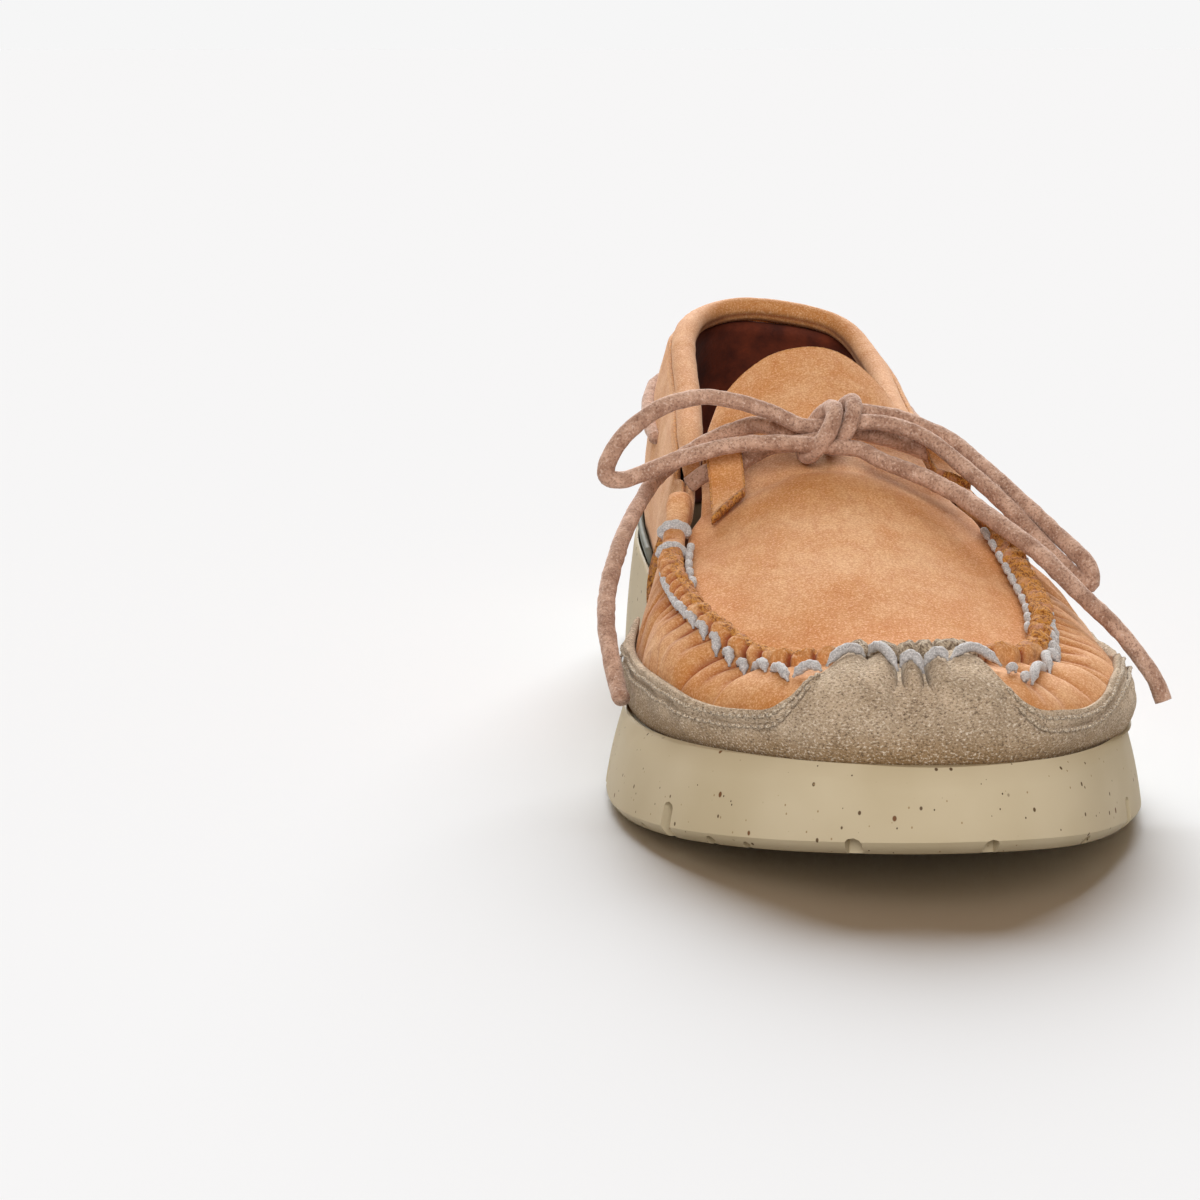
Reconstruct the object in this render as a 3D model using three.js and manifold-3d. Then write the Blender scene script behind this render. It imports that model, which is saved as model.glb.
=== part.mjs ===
// A laced moccasin for a left foot, built up from its separate pieces. Millimetres, +Z up.
// The toe points to -Y, the little-toe side is +X, and the origin is under the middle of the sole.
import * as THREE from "three";
import { mergeVertices } from "three/addons/utils/BufferGeometryUtils.js";
import Module from "manifold-3d";

const LENGTH = 300; // toe tip to heel of the sole
const LEATHER = 1.8; // thickness of the upper leather
const SUEDE = 1.5;
const GAP = 0.4; // left between neighbouring pieces
const STEPS = 4; // samples between two stations of an outline
const COARSE_STEPS = 2; // the same for flat layers
const WALL_ROWS = 6; // samples up the wall of the forefoot
const UPPER_ROWS = 4; // the same behind it
const LACE_RADIUS = 2.3;
const THREAD_RADIUS = 0.85;
const STITCH_RADIUS = 0.4;

const LINING = 1.1;

// Layers of the upper: how far each face lies outside the wall surface.
const COUNTER_OUTER = -LEATHER - GAP;
const COUNTER_INNER = COUNTER_OUTER - LEATHER;
const LINING_OUTER = COUNTER_INNER - GAP;
const LINING_INNER = LINING_OUTER - LINING;
const GUARD_INNER = 0.75;
const GUARD_OUTER = GUARD_INNER + SUEDE;

// Sole: the spring of the toe, and the wall around the foot.
const SPRING_HEIGHT = 10.8;
const SPRING_LENGTH = 90;
const EDGE_CHAMFER = 2.4;
const TREAD_INSET = 2.2;
const RIM_BEVEL = 1.4;
const WELL_OUTSET = GUARD_OUTER + GAP;

// Stations run round the shoe: heel, inner side, toe (TOE), outer side and back.
// Each one holds x, distance from the toe tip, and height.
const TOE = 11;
const SOLE_EDGE = [
  [0, 300, 0], [-32, 286, 0], [-43.5, 250, 0], [-43.5, 200, 0], [-46.5, 168, 0], [-50, 150, 0],
  [-57, 120, 0], [-61.5, 91, 0], [-60.4, 63, 0], [-50, 35, 0], [-29, 11.5, 0], [-1.5, 0, 0],
  [27.5, 9.5, 0], [47.4, 38.5, 0], [57.2, 68, 0], [60, 96, 0], [58, 121, 0], [51.5, 150, 0],
  [48, 168, 0], [44.5, 200, 0], [43, 250, 0], [32, 286, 0],
];
const FOOT_LINE = [
  [0, 292, 36], [-27, 280.5, 35.5], [-37, 250, 33.5], [-37.5, 200, 27.5], [-41.5, 168, 23.5],
  [-45.5, 150, 21.8], [-52, 120, 20.2], [-53.6, 95, 20], [-50.4, 69, 21.2], [-41.6, 43, 24],
  [-24.6, 20.5, 26.6], [-1.5, 13, 27.2], [21, 17.5, 26.7], [41.4, 42.5, 24.1], [51.2, 69, 21.2],
  [54, 95, 20], [52, 120, 20.2], [45.5, 150, 21.8], [42, 168, 23.5], [38.5, 200, 27.5],
  [37, 250, 33.5], [27, 280.5, 35.5],
];
const TOP_LINE = [
  [-1, 287, 96], [-19, 280, 95], [-30, 250, 91.5], [-34, 203, 80], [-37, 168, 70.5],
  [-38.5, 150, 60.5], [-43.5, 120, 52], [-46.5, 95, 48], [-43.5, 70, 43.6], [-31.5, 49, 38.6],
  [-16.5, 40, 40.5], [0, 37, 42], [14.5, 40, 40.5], [29, 51, 38.3], [36, 72, 41.8],
  [36.8, 95, 46.8], [35, 120, 54], [31, 150, 62.5], [28.5, 168, 69], [27.5, 203, 75.5],
  [29, 250, 83.5], [22.5, 279, 91.5],
];
// How far the wall swells outwards, and how high up the swelling pulls.
const SWELL = [8, 5, 5, 6, 4, 2, 1, 3, 6, 7, 5, 4, 6, 8, 6, 4, 4, 6, 6, 5, 5, 5];
const LIFT = [
  0.45, 0.45, 0.35, 0.35, 0.4, 0.5, 0.5, 0.55, 0.75, 0.9, 1, 1.05, 1, 0.9, 0.7, 0.55, 0.5, 0.5,
  0.45, 0.4, 0.45, 0.45,
];
// Height of the cup sole's floor every FLOOR_STEP millimetres from the toe tip.
const FLOOR_STEP = 30;
const FLOOR = [19.2, 15.4, 12.6, 11.6, 11.6, 12.8, 15, 17.6, 20.5, 22.3, 23];
// How far the sole's wall leans in between its lower edge and its rim.
const WALL_LEAN = [
  2.6, 2.6, 2.6, 2.8, 3, 3.2, 3.6, 3.8, 3.8, 3.8, 4, 4.2, 4, 3.8, 3.8, 3.8, 3.6, 3.2, 3, 2.8,
  2.6, 2.6,
];
// Height of the suede guard's upper edge as a share of the wall: low along the sides, with a
// peak over the toe that climbs and falls between these stations.
const GUARD_FROM = 6;
const GUARD_SIDE = 0.37;
const GUARD_OUTER_RISE = 0.2; // extra height beside the little toe, between these stations
const GUARD_OUTER_CLIMB = [12.35, 13.3];
const GUARD_OUTER_FALL = [13.7, 15];
const GUARD_PEAK = 0.93;
const GUARD_CLIMB = [9.55, 10.15];
const GUARD_FALL = [11.7, 12.15];
const GUARD_TURN_UNDER = 0.5; // stations that the guard runs on past its stitching

const UP = new THREE.Vector3(0, 0, 1);

// ---- Curves ----

// Catmull-Rom value between two stations, from the four numbers round it.
function blend4(a, b, c, d, t) {
  const slopeB = (c - a) / 2;
  const slopeC = (d - b) / 2;
  const bend = 3 * (c - b) - 2 * slopeB - slopeC;
  const twist = 2 * (b - c) + slopeB + slopeC;
  return b + t * (slopeB + t * (bend + t * twist));
}

// Value at station u of a list of numbers that closes on itself.
function loopValue(list, u) {
  const i = Math.floor(u);
  const pick = (k) => list[(((i + k) % list.length) + list.length) % list.length];
  return blend4(pick(-1), pick(0), pick(1), pick(2), u - i);
}

// Value at station u of a list that starts at station `from` and ends at its last entry.
function openValue(list, u, from = 0) {
  const place = Math.min(Math.max(u - from, 0), list.length - 1);
  const i = Math.min(Math.floor(place), list.length - 2);
  const pick = (k) => list[Math.min(Math.max(i + k, 0), list.length - 1)];
  return blend4(pick(-1), pick(0), pick(1), pick(2), place - i);
}

// Point at station u of a closed line, in the part's frame.
function linePoint(line, u) {
  const value = (axis) => loopValue(line.map((p) => p[axis]), u);
  return new THREE.Vector3(value(0), value(1) - LENGTH / 2, value(2));
}

// Level direction pointing away from the foot, square to the line at station u.
function outward(line, u) {
  const along = linePoint(line, u + 0.02).sub(linePoint(line, u - 0.02)).setZ(0).normalize();
  return new THREE.Vector3(along.y, -along.x, 0);
}

function smoothStep(low, high, value) {
  const t = Math.min(Math.max((value - low) / (high - low), 0), 1);
  return t * t * (3 - 2 * t);
}

// A smooth line of count + 1 points through hand-set [x, distance from toe, z] points.
function route(points, count) {
  const line = [];
  for (let i = 0; i <= count; i += 1) {
    const u = (i / count) * (points.length - 1);
    const value = (axis) => openValue(points.map((p) => p[axis]), u);
    line.push(new THREE.Vector3(value(0), value(1) - LENGTH / 2, value(2)));
  }
  return line;
}

// Sampled stations from first to last, both ends kept.
function stations(first, last, steps = STEPS) {
  const count = Math.max(2, Math.round((last - first) * steps));
  return Array.from({ length: count + 1 }, (_, i) => first + ((last - first) * i) / count);
}

// ---- Solids ----

// Closed solid through equal-length closed rings. The end rings are zipped shut side to side.
function ringSolid(rings, joined = false) {
  const size = rings[0].length;
  const index = [];
  const quad = (a, b, c, d) => index.push(a, b, c, a, c, d);
  const last = joined ? rings.length : rings.length - 1;
  for (let r = 0; r < last; r += 1) {
    const here = r * size;
    const next = ((r + 1) % rings.length) * size;
    for (let k = 0; k < size; k += 1) {
      const turn = (k + 1) % size;
      quad(here + k, here + turn, next + turn, next + k);
    }
  }
  if (!joined) {
    const end = (rings.length - 1) * size;
    for (let k = 0; k < size / 2 - 1; k += 1) {
      const far = size - 1 - k;
      quad(k, far, far - 1, k + 1);
      quad(end + k, end + k + 1, end + far - 1, end + far);
    }
  }
  const geometry = new THREE.BufferGeometry();
  geometry.setAttribute(
    "position",
    new THREE.Float32BufferAttribute(rings.flat().flatMap((p) => [p.x, p.y, p.z]), 3),
  );
  geometry.setIndex(signedVolume(rings.flat(), index) < 0 ? index.reverse() : index);
  return geometry;
}

function signedVolume(points, index) {
  let volume = 0;
  for (let i = 0; i < index.length; i += 3) {
    const [a, b, c] = [points[index[i]], points[index[i + 1]], points[index[i + 2]]];
    volume += a.dot(new THREE.Vector3().crossVectors(b, c));
  }
  return volume;
}

// Round bar along a line of points. Radius may change along the line.
function tube(line, radius, sides = 8, joined = false) {
  const radiusAt = typeof radius === "function" ? radius : () => radius;
  let side = null;
  const rings = line.map((point, i) => {
    const before = line[joined ? (i + line.length - 1) % line.length : Math.max(i - 1, 0)];
    const after = line[joined ? (i + 1) % line.length : Math.min(i + 1, line.length - 1)];
    const along = after.clone().sub(before).normalize();
    if (!side) side = Math.abs(along.z) < 0.9 ? UP.clone() : new THREE.Vector3(1, 0, 0);
    side.addScaledVector(along, -side.dot(along)).normalize();
    const across = new THREE.Vector3().crossVectors(along, side);
    return Array.from({ length: sides }, (_, k) => {
      const angle = ((k + 0.5) / sides) * 2 * Math.PI;
      const reach = radiusAt(i / (line.length - 1));
      return point
        .clone()
        .addScaledVector(side, reach * Math.cos(angle))
        .addScaledVector(across, reach * Math.sin(angle));
    });
  });
  return ringSolid(rings, joined);
}

// ---- The wall of the upper ----

// Point of the upper's outer surface: v is 0 at the foot line and 1 at the top line.
function skin(u, v) {
  const foot = linePoint(FOOT_LINE, u);
  const top = linePoint(TOP_LINE, u);
  const pull = foot.clone().addScaledVector(outward(FOOT_LINE, u), loopValue(SWELL, u));
  pull.z = foot.z + loopValue(LIFT, u) * (top.z - foot.z);
  return foot
    .multiplyScalar((1 - v) * (1 - v))
    .addScaledVector(pull, 2 * v * (1 - v))
    .addScaledVector(top, v * v);
}

// Point at a given distance outside that surface.
function wall(u, v, offset) {
  const low = Math.min(v, 0.98);
  const rise = skin(u, low + 0.02).sub(skin(u, low));
  const run = skin(u + 0.02, v).sub(skin(u - 0.02, v));
  const away = new THREE.Vector3().crossVectors(run, rise).normalize();
  return skin(u, v).addScaledVector(away, offset);
}

// Cross-section of a leather strip on the wall, outer face up and inner face down.
// A strip that starts at the foot line also reaches down into the cup of the sole.
function stripRing(u, shares, outer, inner) {
  const face = (offset) => {
    const points = shares.map((v) => wall(u, v, offset));
    if (shares[0] === 0) points.unshift(points[0].clone().setZ(floorHeight(points[0].y) + 2 * GAP));
    return points;
  };
  return [...face(outer), ...face(inner).reverse()];
}

// Evenly spaced shares of the wall's height.
function evenShares(low, high, rows) {
  return Array.from({ length: rows + 1 }, (_, i) => low + ((high - low) * i) / rows);
}

// ---- Sole ----

function groundHeight(y) {
  const ahead = Math.max(0, SPRING_LENGTH - (y + LENGTH / 2)) / SPRING_LENGTH;
  return SPRING_HEIGHT * ahead ** 1.7;
}

function floorHeight(y) {
  return openValue(FLOOR, (y + LENGTH / 2) / FLOOR_STEP);
}

// Closed ring parallel to a line, `outset` outside it, with its height set by a function of u and y.
function parallelRing(line, outset, heightAt, steps = STEPS) {
  return stations(0, line.length, steps)
    .slice(0, -1)
    .map((u) => {
      const point = linePoint(line, u).addScaledVector(outward(line, u), outset(u));
      return point.setZ(heightAt(u, point.y));
    });
}

function cupBody() {
  const rim = (u) => loopValue(FOOT_LINE.map((p) => p[2]), u);
  const lean = (u) => -loopValue(WALL_LEAN, u);
  return ringSolid([
    parallelRing(SOLE_EDGE, () => -TREAD_INSET, (u, y) => groundHeight(y)),
    parallelRing(SOLE_EDGE, () => 0, (u, y) => groundHeight(y) + EDGE_CHAMFER),
    parallelRing(SOLE_EDGE, lean, (u) => rim(u) - RIM_BEVEL),
    parallelRing(SOLE_EDGE, (u) => lean(u) - RIM_BEVEL, (u) => rim(u)),
    parallelRing(FOOT_LINE, () => WELL_OUTSET, (u) => rim(u) - GAP),
    parallelRing(FOOT_LINE, () => WELL_OUTSET, (u, y) => floorHeight(y)),
  ]);
}

const wasm = await Module();
wasm.setup();

function toSolid(geometry) {
  const bare = new THREE.BufferGeometry();
  bare.setAttribute("position", geometry.getAttribute("position"));
  bare.setIndex(geometry.index);
  const merged = mergeVertices(bare, 1e-4);
  return new wasm.Manifold(
    new wasm.Mesh({
      numProp: 3,
      vertProperties: new Float32Array(merged.getAttribute("position").array),
      triVerts: new Uint32Array(merged.index.array),
    }),
  );
}

function fromSolid(solid) {
  const mesh = solid.getMesh();
  const geometry = new THREE.BufferGeometry();
  geometry.setAttribute("position", new THREE.BufferAttribute(mesh.vertProperties, 3));
  geometry.setIndex(new THREE.BufferAttribute(mesh.triVerts, 1));
  return geometry;
}

// A box cutter, turned about the vertical and set with its middle at a point.
function cutter(width, depth, height, point, turn) {
  const box = new THREE.BoxGeometry(width, depth, height);
  box.rotateZ(turn);
  box.translate(point.x, point.y, point.z);
  return toSolid(box);
}

// Tread: slots round the lower edge, and slanted grooves across it, placed from the toe tip.
const NOTCH_WIDTH = 3.4;
const NOTCH_HEIGHT = 8.4;
const NOTCH_DEPTH = 5;
const NOTCH_COUNT = 32;
const GROOVE_PLACES = [62, 78, 94, 110, 126, 142, 216, 232, 248, 264];
const GROOVE_LENGTH = 74;
const GROOVE_WIDTH = 3.2;
const GROOVE_DEPTH = 2.6;
const GROOVE_SLANT = 0.12;

// Slots in the lower edge of the sole, all the way round.
function notches() {
  return Array.from({ length: NOTCH_COUNT }, (_, i) => {
    const u = ((i + 0.5) / NOTCH_COUNT) * SOLE_EDGE.length;
    const edge = linePoint(SOLE_EDGE, u);
    const away = outward(SOLE_EDGE, u);
    return cutter(
      NOTCH_DEPTH, NOTCH_WIDTH, NOTCH_HEIGHT,
      edge.setZ(groundHeight(edge.y)),
      Math.atan2(away.y, away.x),
    );
  });
}

// Grooves across the tread, alternately slanted.
function grooves() {
  return GROOVE_PLACES.map((place, i) => {
    const y = place - LENGTH / 2;
    const point = new THREE.Vector3(0, y, groundHeight(y));
    const turn = i % 2 ? GROOVE_SLANT : -GROOVE_SLANT;
    return cutter(GROOVE_LENGTH, GROOVE_WIDTH, 2 * GROOVE_DEPTH, point, turn);
  });
}

function cupSole() {
  const cuts = [...notches(), ...grooves()];
  return fromSolid(cuts.reduce((body, cut) => body.subtract(cut), toSolid(cupBody())));
}

// A level layer inside the cup, `inset` inside the foot line, between two heights over its floor.
function cupLayer(inset, bottom, top, crown) {
  const level = (lift, extra) =>
    parallelRing(
      FOOT_LINE, () => -(inset + extra), (u, y) => floorHeight(y) + lift, COARSE_STEPS,
    );
  return ringSolid([level(bottom, 0), level(top, 0), level(top + crown, EDGE_ROUND)]);
}

const EDGE_ROUND = 3;
const BOARD_THICKNESS = 1.6;
const FOOTBED_THICKNESS = 3.6;
const BOARD_INSET = -LINING_INNER + GAP;

function insoleBoard() {
  return cupLayer(BOARD_INSET, GAP, GAP + BOARD_THICKNESS, 0);
}

function footbed() {
  const bottom = 2 * GAP + BOARD_THICKNESS;
  return cupLayer(BOARD_INSET, bottom, bottom + FOOTBED_THICKNESS, 0.8);
}

// ---- Vamp, guards and quarters ----

const VAMP_END = 4.72; // station where the vamp stops under the quarter, on the inner side
const QUARTER_FRONT = 5.2;
const RIDGE_HEIGHT = 4.6;
const RIDGE_THICKNESS = 4;
const COLLAR_RADIUS = 3.4;

// The same station counted from the toe on the other side.
const mirrored = (u) => 2 * TOE - u;

// The vamp sinks by one leather thickness, behind this station, where the quarter lies over it.
const SINK_FROM = 5.75;
const SINK_LENGTH = 0.4;

function vampOffset(u) {
  const front = TOE - SINK_FROM;
  return COUNTER_OUTER * smoothStep(front, front + SINK_LENGTH, Math.abs(u - TOE));
}

// The gathered, raised edge of the vamp dies out towards the laces, between these stations.
const RIDGE_END = [5.1, 5.7];
const RIDGE_LOW = 0.8; // its height behind them

function ridgeFade(u) {
  return smoothStep(...RIDGE_END, TOE - Math.abs(u - TOE));
}

function ridgeHeight(u) {
  return RIDGE_LOW + (RIDGE_HEIGHT - RIDGE_LOW) * ridgeFade(u);
}

function ridgeThickness(u) {
  return LEATHER + (RIDGE_THICKNESS - LEATHER) * ridgeFade(u);
}

function vampRing(u) {
  const offset = vampOffset(u);
  const ring = stripRing(u, evenShares(0, 1, WALL_ROWS), offset, offset - LEATHER);
  const half = ring.length / 2;
  const inwards = outward(TOP_LINE, u).negate();
  const lip = ring[half - 1].clone();
  lip.z += ridgeHeight(u);
  const inner = lip.clone().addScaledVector(inwards, ridgeThickness(u));
  const root = ring[half - 1].clone().addScaledVector(inwards, ridgeThickness(u));
  root.z -= 0.6;
  ring.splice(half, 0, lip, inner, root);
  ring.splice(half, 0, ring[half - 1].clone().lerp(lip, 0.5));
  return ring;
}

function vamp() {
  return ringSolid(stations(VAMP_END, mirrored(VAMP_END)).map(vampRing));
}

const UPPER_ROW = 0.05;
const LOWER_ROW = 0.11;

// 1 over the toe, where the guard climbs to the seam, and 0 along the sides.
function guardPeak(u) {
  return smoothStep(...GUARD_CLIMB, u) * (1 - smoothStep(...GUARD_FALL, u));
}

function guardShare(u) {
  const rise = smoothStep(...GUARD_OUTER_CLIMB, u) - smoothStep(...GUARD_OUTER_FALL, u);
  const side = GUARD_SIDE + GUARD_OUTER_RISE * rise;
  return side + (GUARD_PEAK - side) * guardPeak(u);
}

// Rows of the guard: the vamp's own rows, with those over the guard's edge drawn in just under it.
// Rows of the guard: even up to its upper edge, and closely packed from there on.
const GUARD_ROW_STEP = 0.012;

function guardRows(u) {
  return evenShares(0, 1, WALL_ROWS).map((v, i) =>
    Math.min(v, guardShare(u) - (WALL_ROWS - i) * GUARD_ROW_STEP),
  );
}

function toeGuard() {
  const first = GUARD_FROM - GUARD_TURN_UNDER;
  const span = stations(first, mirrored(first));
  const stand = (u) => 0.4 * guardPeak(u);
  return ringSolid(
    span.map((u) => stripRing(u, guardRows(u), GUARD_OUTER + stand(u), GUARD_INNER + stand(u))),
  );
}

// A row of stitching that follows the guard's upper edge, `drop` of the wall below it.
function guardStitch(first, last, drop) {
  const stand = GUARD_OUTER + STITCH_RADIUS + 0.25;
  const line = stations(first, last).map((u) => wall(u, guardShare(u) - drop, stand));
  return tube(line, STITCH_RADIUS, 4);
}

// Share of the wall's height that lies under the padded collar.
function belowCollar(u) {
  const height = linePoint(TOP_LINE, u).z - linePoint(FOOT_LINE, u).z;
  const climb = 2 * (1 - loopValue(LIFT, u)) * height; // height gained per share at the top
  return 1 - (2 * COLLAR_RADIUS + 2 * GAP) / climb;
}

// In front of the collar the quarters rise almost to the top line.
const QUARTER_FRONT_SHARE = 0.97;
const QUARTER_RISE = [QUARTER_FRONT - 0.9, QUARTER_FRONT - 0.5];

function quarterRing(u) {
  const nearFront = smoothStep(...QUARTER_RISE, TOE - Math.abs(TOE - u));
  const high = belowCollar(u) + (QUARTER_FRONT_SHARE - belowCollar(u)) * nearFront;
  return stripRing(u, evenShares(0, high, UPPER_ROWS), 0, -LEATHER);
}

function quarter(first, last) {
  return ringSolid(stations(first, last).map(quarterRing));
}

// Stiffener between the quarters and the lining, round the heel.
const COUNTER_END = 2.4;
const COUNTER_SHARE = 0.62;

function heelCounter() {
  const rows = evenShares(0, COUNTER_SHARE, UPPER_ROWS);
  const span = stations(-COUNTER_END, COUNTER_END);
  return ringSolid(span.map((u) => stripRing(u, rows, COUNTER_OUTER, COUNTER_INNER)));
}

const LINING_END = QUARTER_FRONT - 0.2;

function lining() {
  const span = stations(-LINING_END, LINING_END);
  return ringSolid(
    span.map((u) =>
      stripRing(u, evenShares(0, belowCollar(u), UPPER_ROWS), LINING_OUTER, LINING_INNER),
    ),
  );
}

// Rubber guard round the heel, tapering to half its height at its ends.
const HEEL_GUARD_END = 2.6;
const HEEL_GUARD_SHARE = 0.2;

function heelGuard() {
  const taper = (u) => smoothStep(HEEL_GUARD_END / 2, HEEL_GUARD_END, Math.abs(u));
  const share = (u) => HEEL_GUARD_SHARE * (1 - 0.5 * taper(u));
  return ringSolid(
    stations(-HEEL_GUARD_END, HEEL_GUARD_END).map((u) =>
      stripRing(u, evenShares(0, share(u), 2), GUARD_OUTER, GUARD_INNER),
    ),
  );
}

// Strip that covers the seam between the quarters, from the heel guard up to the collar.
const STRIP_HALF = 0.26;
const STRIP_THICKNESS = 1.2;
const STRIP_FOOT = HEEL_GUARD_SHARE + 0.04;

function backStrip() {
  return ringSolid(
    stations(-STRIP_HALF, STRIP_HALF).map((u) =>
      stripRing(u, evenShares(STRIP_FOOT, belowCollar(u), 5), GAP + STRIP_THICKNESS, GAP),
    ),
  );
}

// Middle of the padded collar's roll.
function collarPoint(u) {
  const point = linePoint(TOP_LINE, u);
  point.z -= COLLAR_RADIUS;
  return point.addScaledVector(outward(TOP_LINE, u), -COLLAR_RADIUS + 0.4);
}

function collar() {
  const line = stations(-4.45, 4.45).map(collarPoint);
  const thin = (t) => COLLAR_RADIUS * (0.6 + 0.4 * Math.min(1, 12 * t, 12 * (1 - t)));
  return tube(line, thin, 8);
}

// ---- Apron and tongue ----

const APRON_FRONT = 0.35; // stations each side of the toe
const APRON_BACK = 5.75;
const APRON_MARGIN = RIDGE_THICKNESS + GAP + 0.3;
const APRON_CROWN = [0.6, 2.2, 4, 6, 8.2, 9.6, 10.2];
const APRON_COLUMNS = 8;

// Arched cross-section between two edge points, with its crown raised in the middle.
function archRing(left, right, crown, thickness, columns) {
  const face = (drop) =>
    Array.from({ length: columns + 1 }, (_, i) => {
      const t = i / columns;
      const point = left.clone().lerp(right, t);
      point.z += crown * Math.sin(Math.PI * t) ** 1.1 - drop;
      return point;
    });
  return [...face(0), ...face(thickness).reverse()];
}

function apronEdge(u) {
  const margin = APRON_MARGIN - vampOffset(u);
  return linePoint(TOP_LINE, u).addScaledVector(outward(TOP_LINE, u), -margin);
}

function apron() {
  const count = 18;
  const rings = Array.from({ length: count + 1 }, (_, i) => {
    const reach = APRON_FRONT + ((APRON_BACK - APRON_FRONT) * i) / count;
    const crown = openValue(APRON_CROWN, reach);
    return archRing(apronEdge(TOE - reach), apronEdge(TOE + reach), crown, LEATHER, APRON_COLUMNS);
  });
  return ringSolid(rings);
}

// Free upper end of the tongue:
// [distance from toe, inner x, inner z, outer x, outer z, crown, bow of the edge].
const TONGUE = [
  [147, -31.5, 60.6, 24.4, 62, 10.2, 0],
  [157, -30.2, 65.4, 23.4, 66.2, 11.4, 1],
  [168, -28.4, 72.2, 21.8, 71.6, 12.4, 3],
  [177, -26, 78.4, 20, 76.6, 12.6, 7],
];

function tongueFlap() {
  const count = 8;
  const rings = Array.from({ length: count + 1 }, (_, i) => {
    const u = (i / count) * (TONGUE.length - 1);
    const value = (column) => openValue(TONGUE.map((row) => row[column]), u);
    const left = new THREE.Vector3(value(1), value(0) - LENGTH / 2, value(2));
    const right = new THREE.Vector3(value(3), value(0) - LENGTH / 2, value(4));
    const ring = archRing(left, right, value(5), LEATHER, APRON_COLUMNS);
    const middle = (value(1) + value(3)) / 2;
    const half = (value(3) - value(1)) / 2;
    return ring.map((point) => {
      const share = 1 - ((point.x - middle) / half) ** 2;
      return point.add(new THREE.Vector3(0, value(6) * share, 0.4 * value(6) * share));
    });
  });
  return ringSolid(rings);
}

// ---- Seam thread and lacing ----

const SEAM_STITCHES = 30;
const POINTS_PER_STITCH = 4;

// Thick thread whipped along the outer foot of the raised seam.
function seamThread() {
  const first = 6.2;
  const last = mirrored(first);
  const count = SEAM_STITCHES * POINTS_PER_STITCH;
  const line = Array.from({ length: count + 1 }, (_, i) => {
    const wave = Math.cos((2 * Math.PI * i) / POINTS_PER_STITCH);
    return besideRidge(first + ((last - first) * i) / count, 0.35 * (1 + wave), 0.4 * wave);
  });
  return tube(line, THREAD_RADIUS, 5);
}

// Middle of a thread lying against the outer face of the ridge, `stand` away and `lift` up.
function besideRidge(u, stand, lift) {
  const point = linePoint(TOP_LINE, u);
  point.addScaledVector(outward(TOP_LINE, u), THREAD_RADIUS + GAP + stand);
  point.z += 1.7 + lift + guardLift(u);
  return point;
}

// Where the suede reaches the seam the thread rides above its edge.
function guardLift(u) {
  return 1.1 * smoothStep(0.62, 0.74, guardShare(u));
}

// Thread laid once over the seam ridge, from its outer foot to its inner foot.
function wrapStitch(u) {
  const foot = linePoint(TOP_LINE, u);
  const inwards = outward(TOP_LINE, u).negate();
  const clear = THREAD_RADIUS + GAP;
  const place = (inside, height) =>
    foot.clone().addScaledVector(inwards, inside).setZ(foot.z + height);
  const thick = ridgeThickness(u) - vampOffset(u);
  const tall = ridgeHeight(u);
  const corners = [
    place(-clear, 1.8),
    place(-clear, tall * 0.8),
    place(0.2, tall + clear),
    place(thick - 0.2, tall + clear),
    place(thick + clear, tall * 0.9),
    place(thick + clear, 3.6),
  ];
  return tube(new THREE.CatmullRomCurve3(corners).getPoints(14), THREAD_RADIUS, 6);
}

// Leather keepers that the lace passes under: [x, distance from toe, z] of the middle line.
const TAB_HALF_WIDTH = 4;
const TAB_THICKNESS = 1.4;
const TAB_INNER = [
  [-27.4, 151.2, 68.8], [-27.8, 147.2, 71.2], [-28.2, 142.8, 70], [-28.6, 138, 64.2],
  [-29.4, 131, 60.2], [-30.6, 124, 57.2],
];
const TAB_OUTER = [
  [24, 156.4, 72.2], [24.6, 151.6, 74], [25.4, 147, 72.2], [26, 142, 66.8], [27, 136, 64.2],
];

// Flat strap along a line, with its outer side edge lowered by `tilt`.
function strap(points, count, tilt) {
  const side = new THREE.Vector3(TAB_HALF_WIDTH, 0, -tilt);
  const rings = route(points, count).map((point) => {
    const corner = (sign, lift) =>
      point.clone().addScaledVector(side, sign).add(new THREE.Vector3(0, 0, lift));
    return [corner(-1, TAB_THICKNESS), corner(1, TAB_THICKNESS), corner(1, 0), corner(-1, 0)];
  });
  return ringSolid(rings);
}

// Lace routes, each a list of [x, distance from toe, z].
const KNOT = [-3.2, 140, 74.2];
const RUN_INNER = [
  [-36.4, 149, 62.6], [-32.4, 147.4, 65.8], [-28, 145.4, 67.4], [-23.3, 144, 69.4],
  [-17.3, 143, 72.8], [-10.8, 142, 73.6],
];
const RUN_OUTER = [
  [28.2, 152, 66.8], [22.8, 150, 69.8], [14.4, 147.6, 73.2], [8.4, 146, 75], [4.6, 144.4, 76],
];
const LOOP_INNER = [
  [-9.4, 143.5, 77.7], [-17.6, 145, 81.2], [-25.6, 146, 83.6], [-34.6, 145, 84.8],
  [-43.8, 143, 82.7], [-52.1, 140, 77.4], [-57, 137.5, 71.3], [-57.8, 136, 67.1],
  [-54.4, 136, 66], [-49.2, 137, 67.3], [-39.5, 137.5, 71], [-27.5, 137, 74], [-17.5, 136, 74.8],
  [-10.4, 136, 74.2],
];
const LOOP_OUTER = [
  [3.6, 141, 78.5], [9.8, 140.6, 78.6], [15.8, 138, 77.2], [21.3, 134.4, 74.6],
  [28.3, 128.4, 68.8], [35.3, 120.4, 62.4], [41.9, 110.5, 54.8], [48.4, 101, 47.8],
  [51.6, 97.5, 46.4], [51.4, 100.5, 50.6], [45.9, 110, 56.4], [39.5, 120.5, 62.8],
  [33, 131, 69], [27.1, 139, 74], [20, 144.6, 77.4], [13.2, 147, 79.4], [4.8, 146, 80.6],
];
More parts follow.
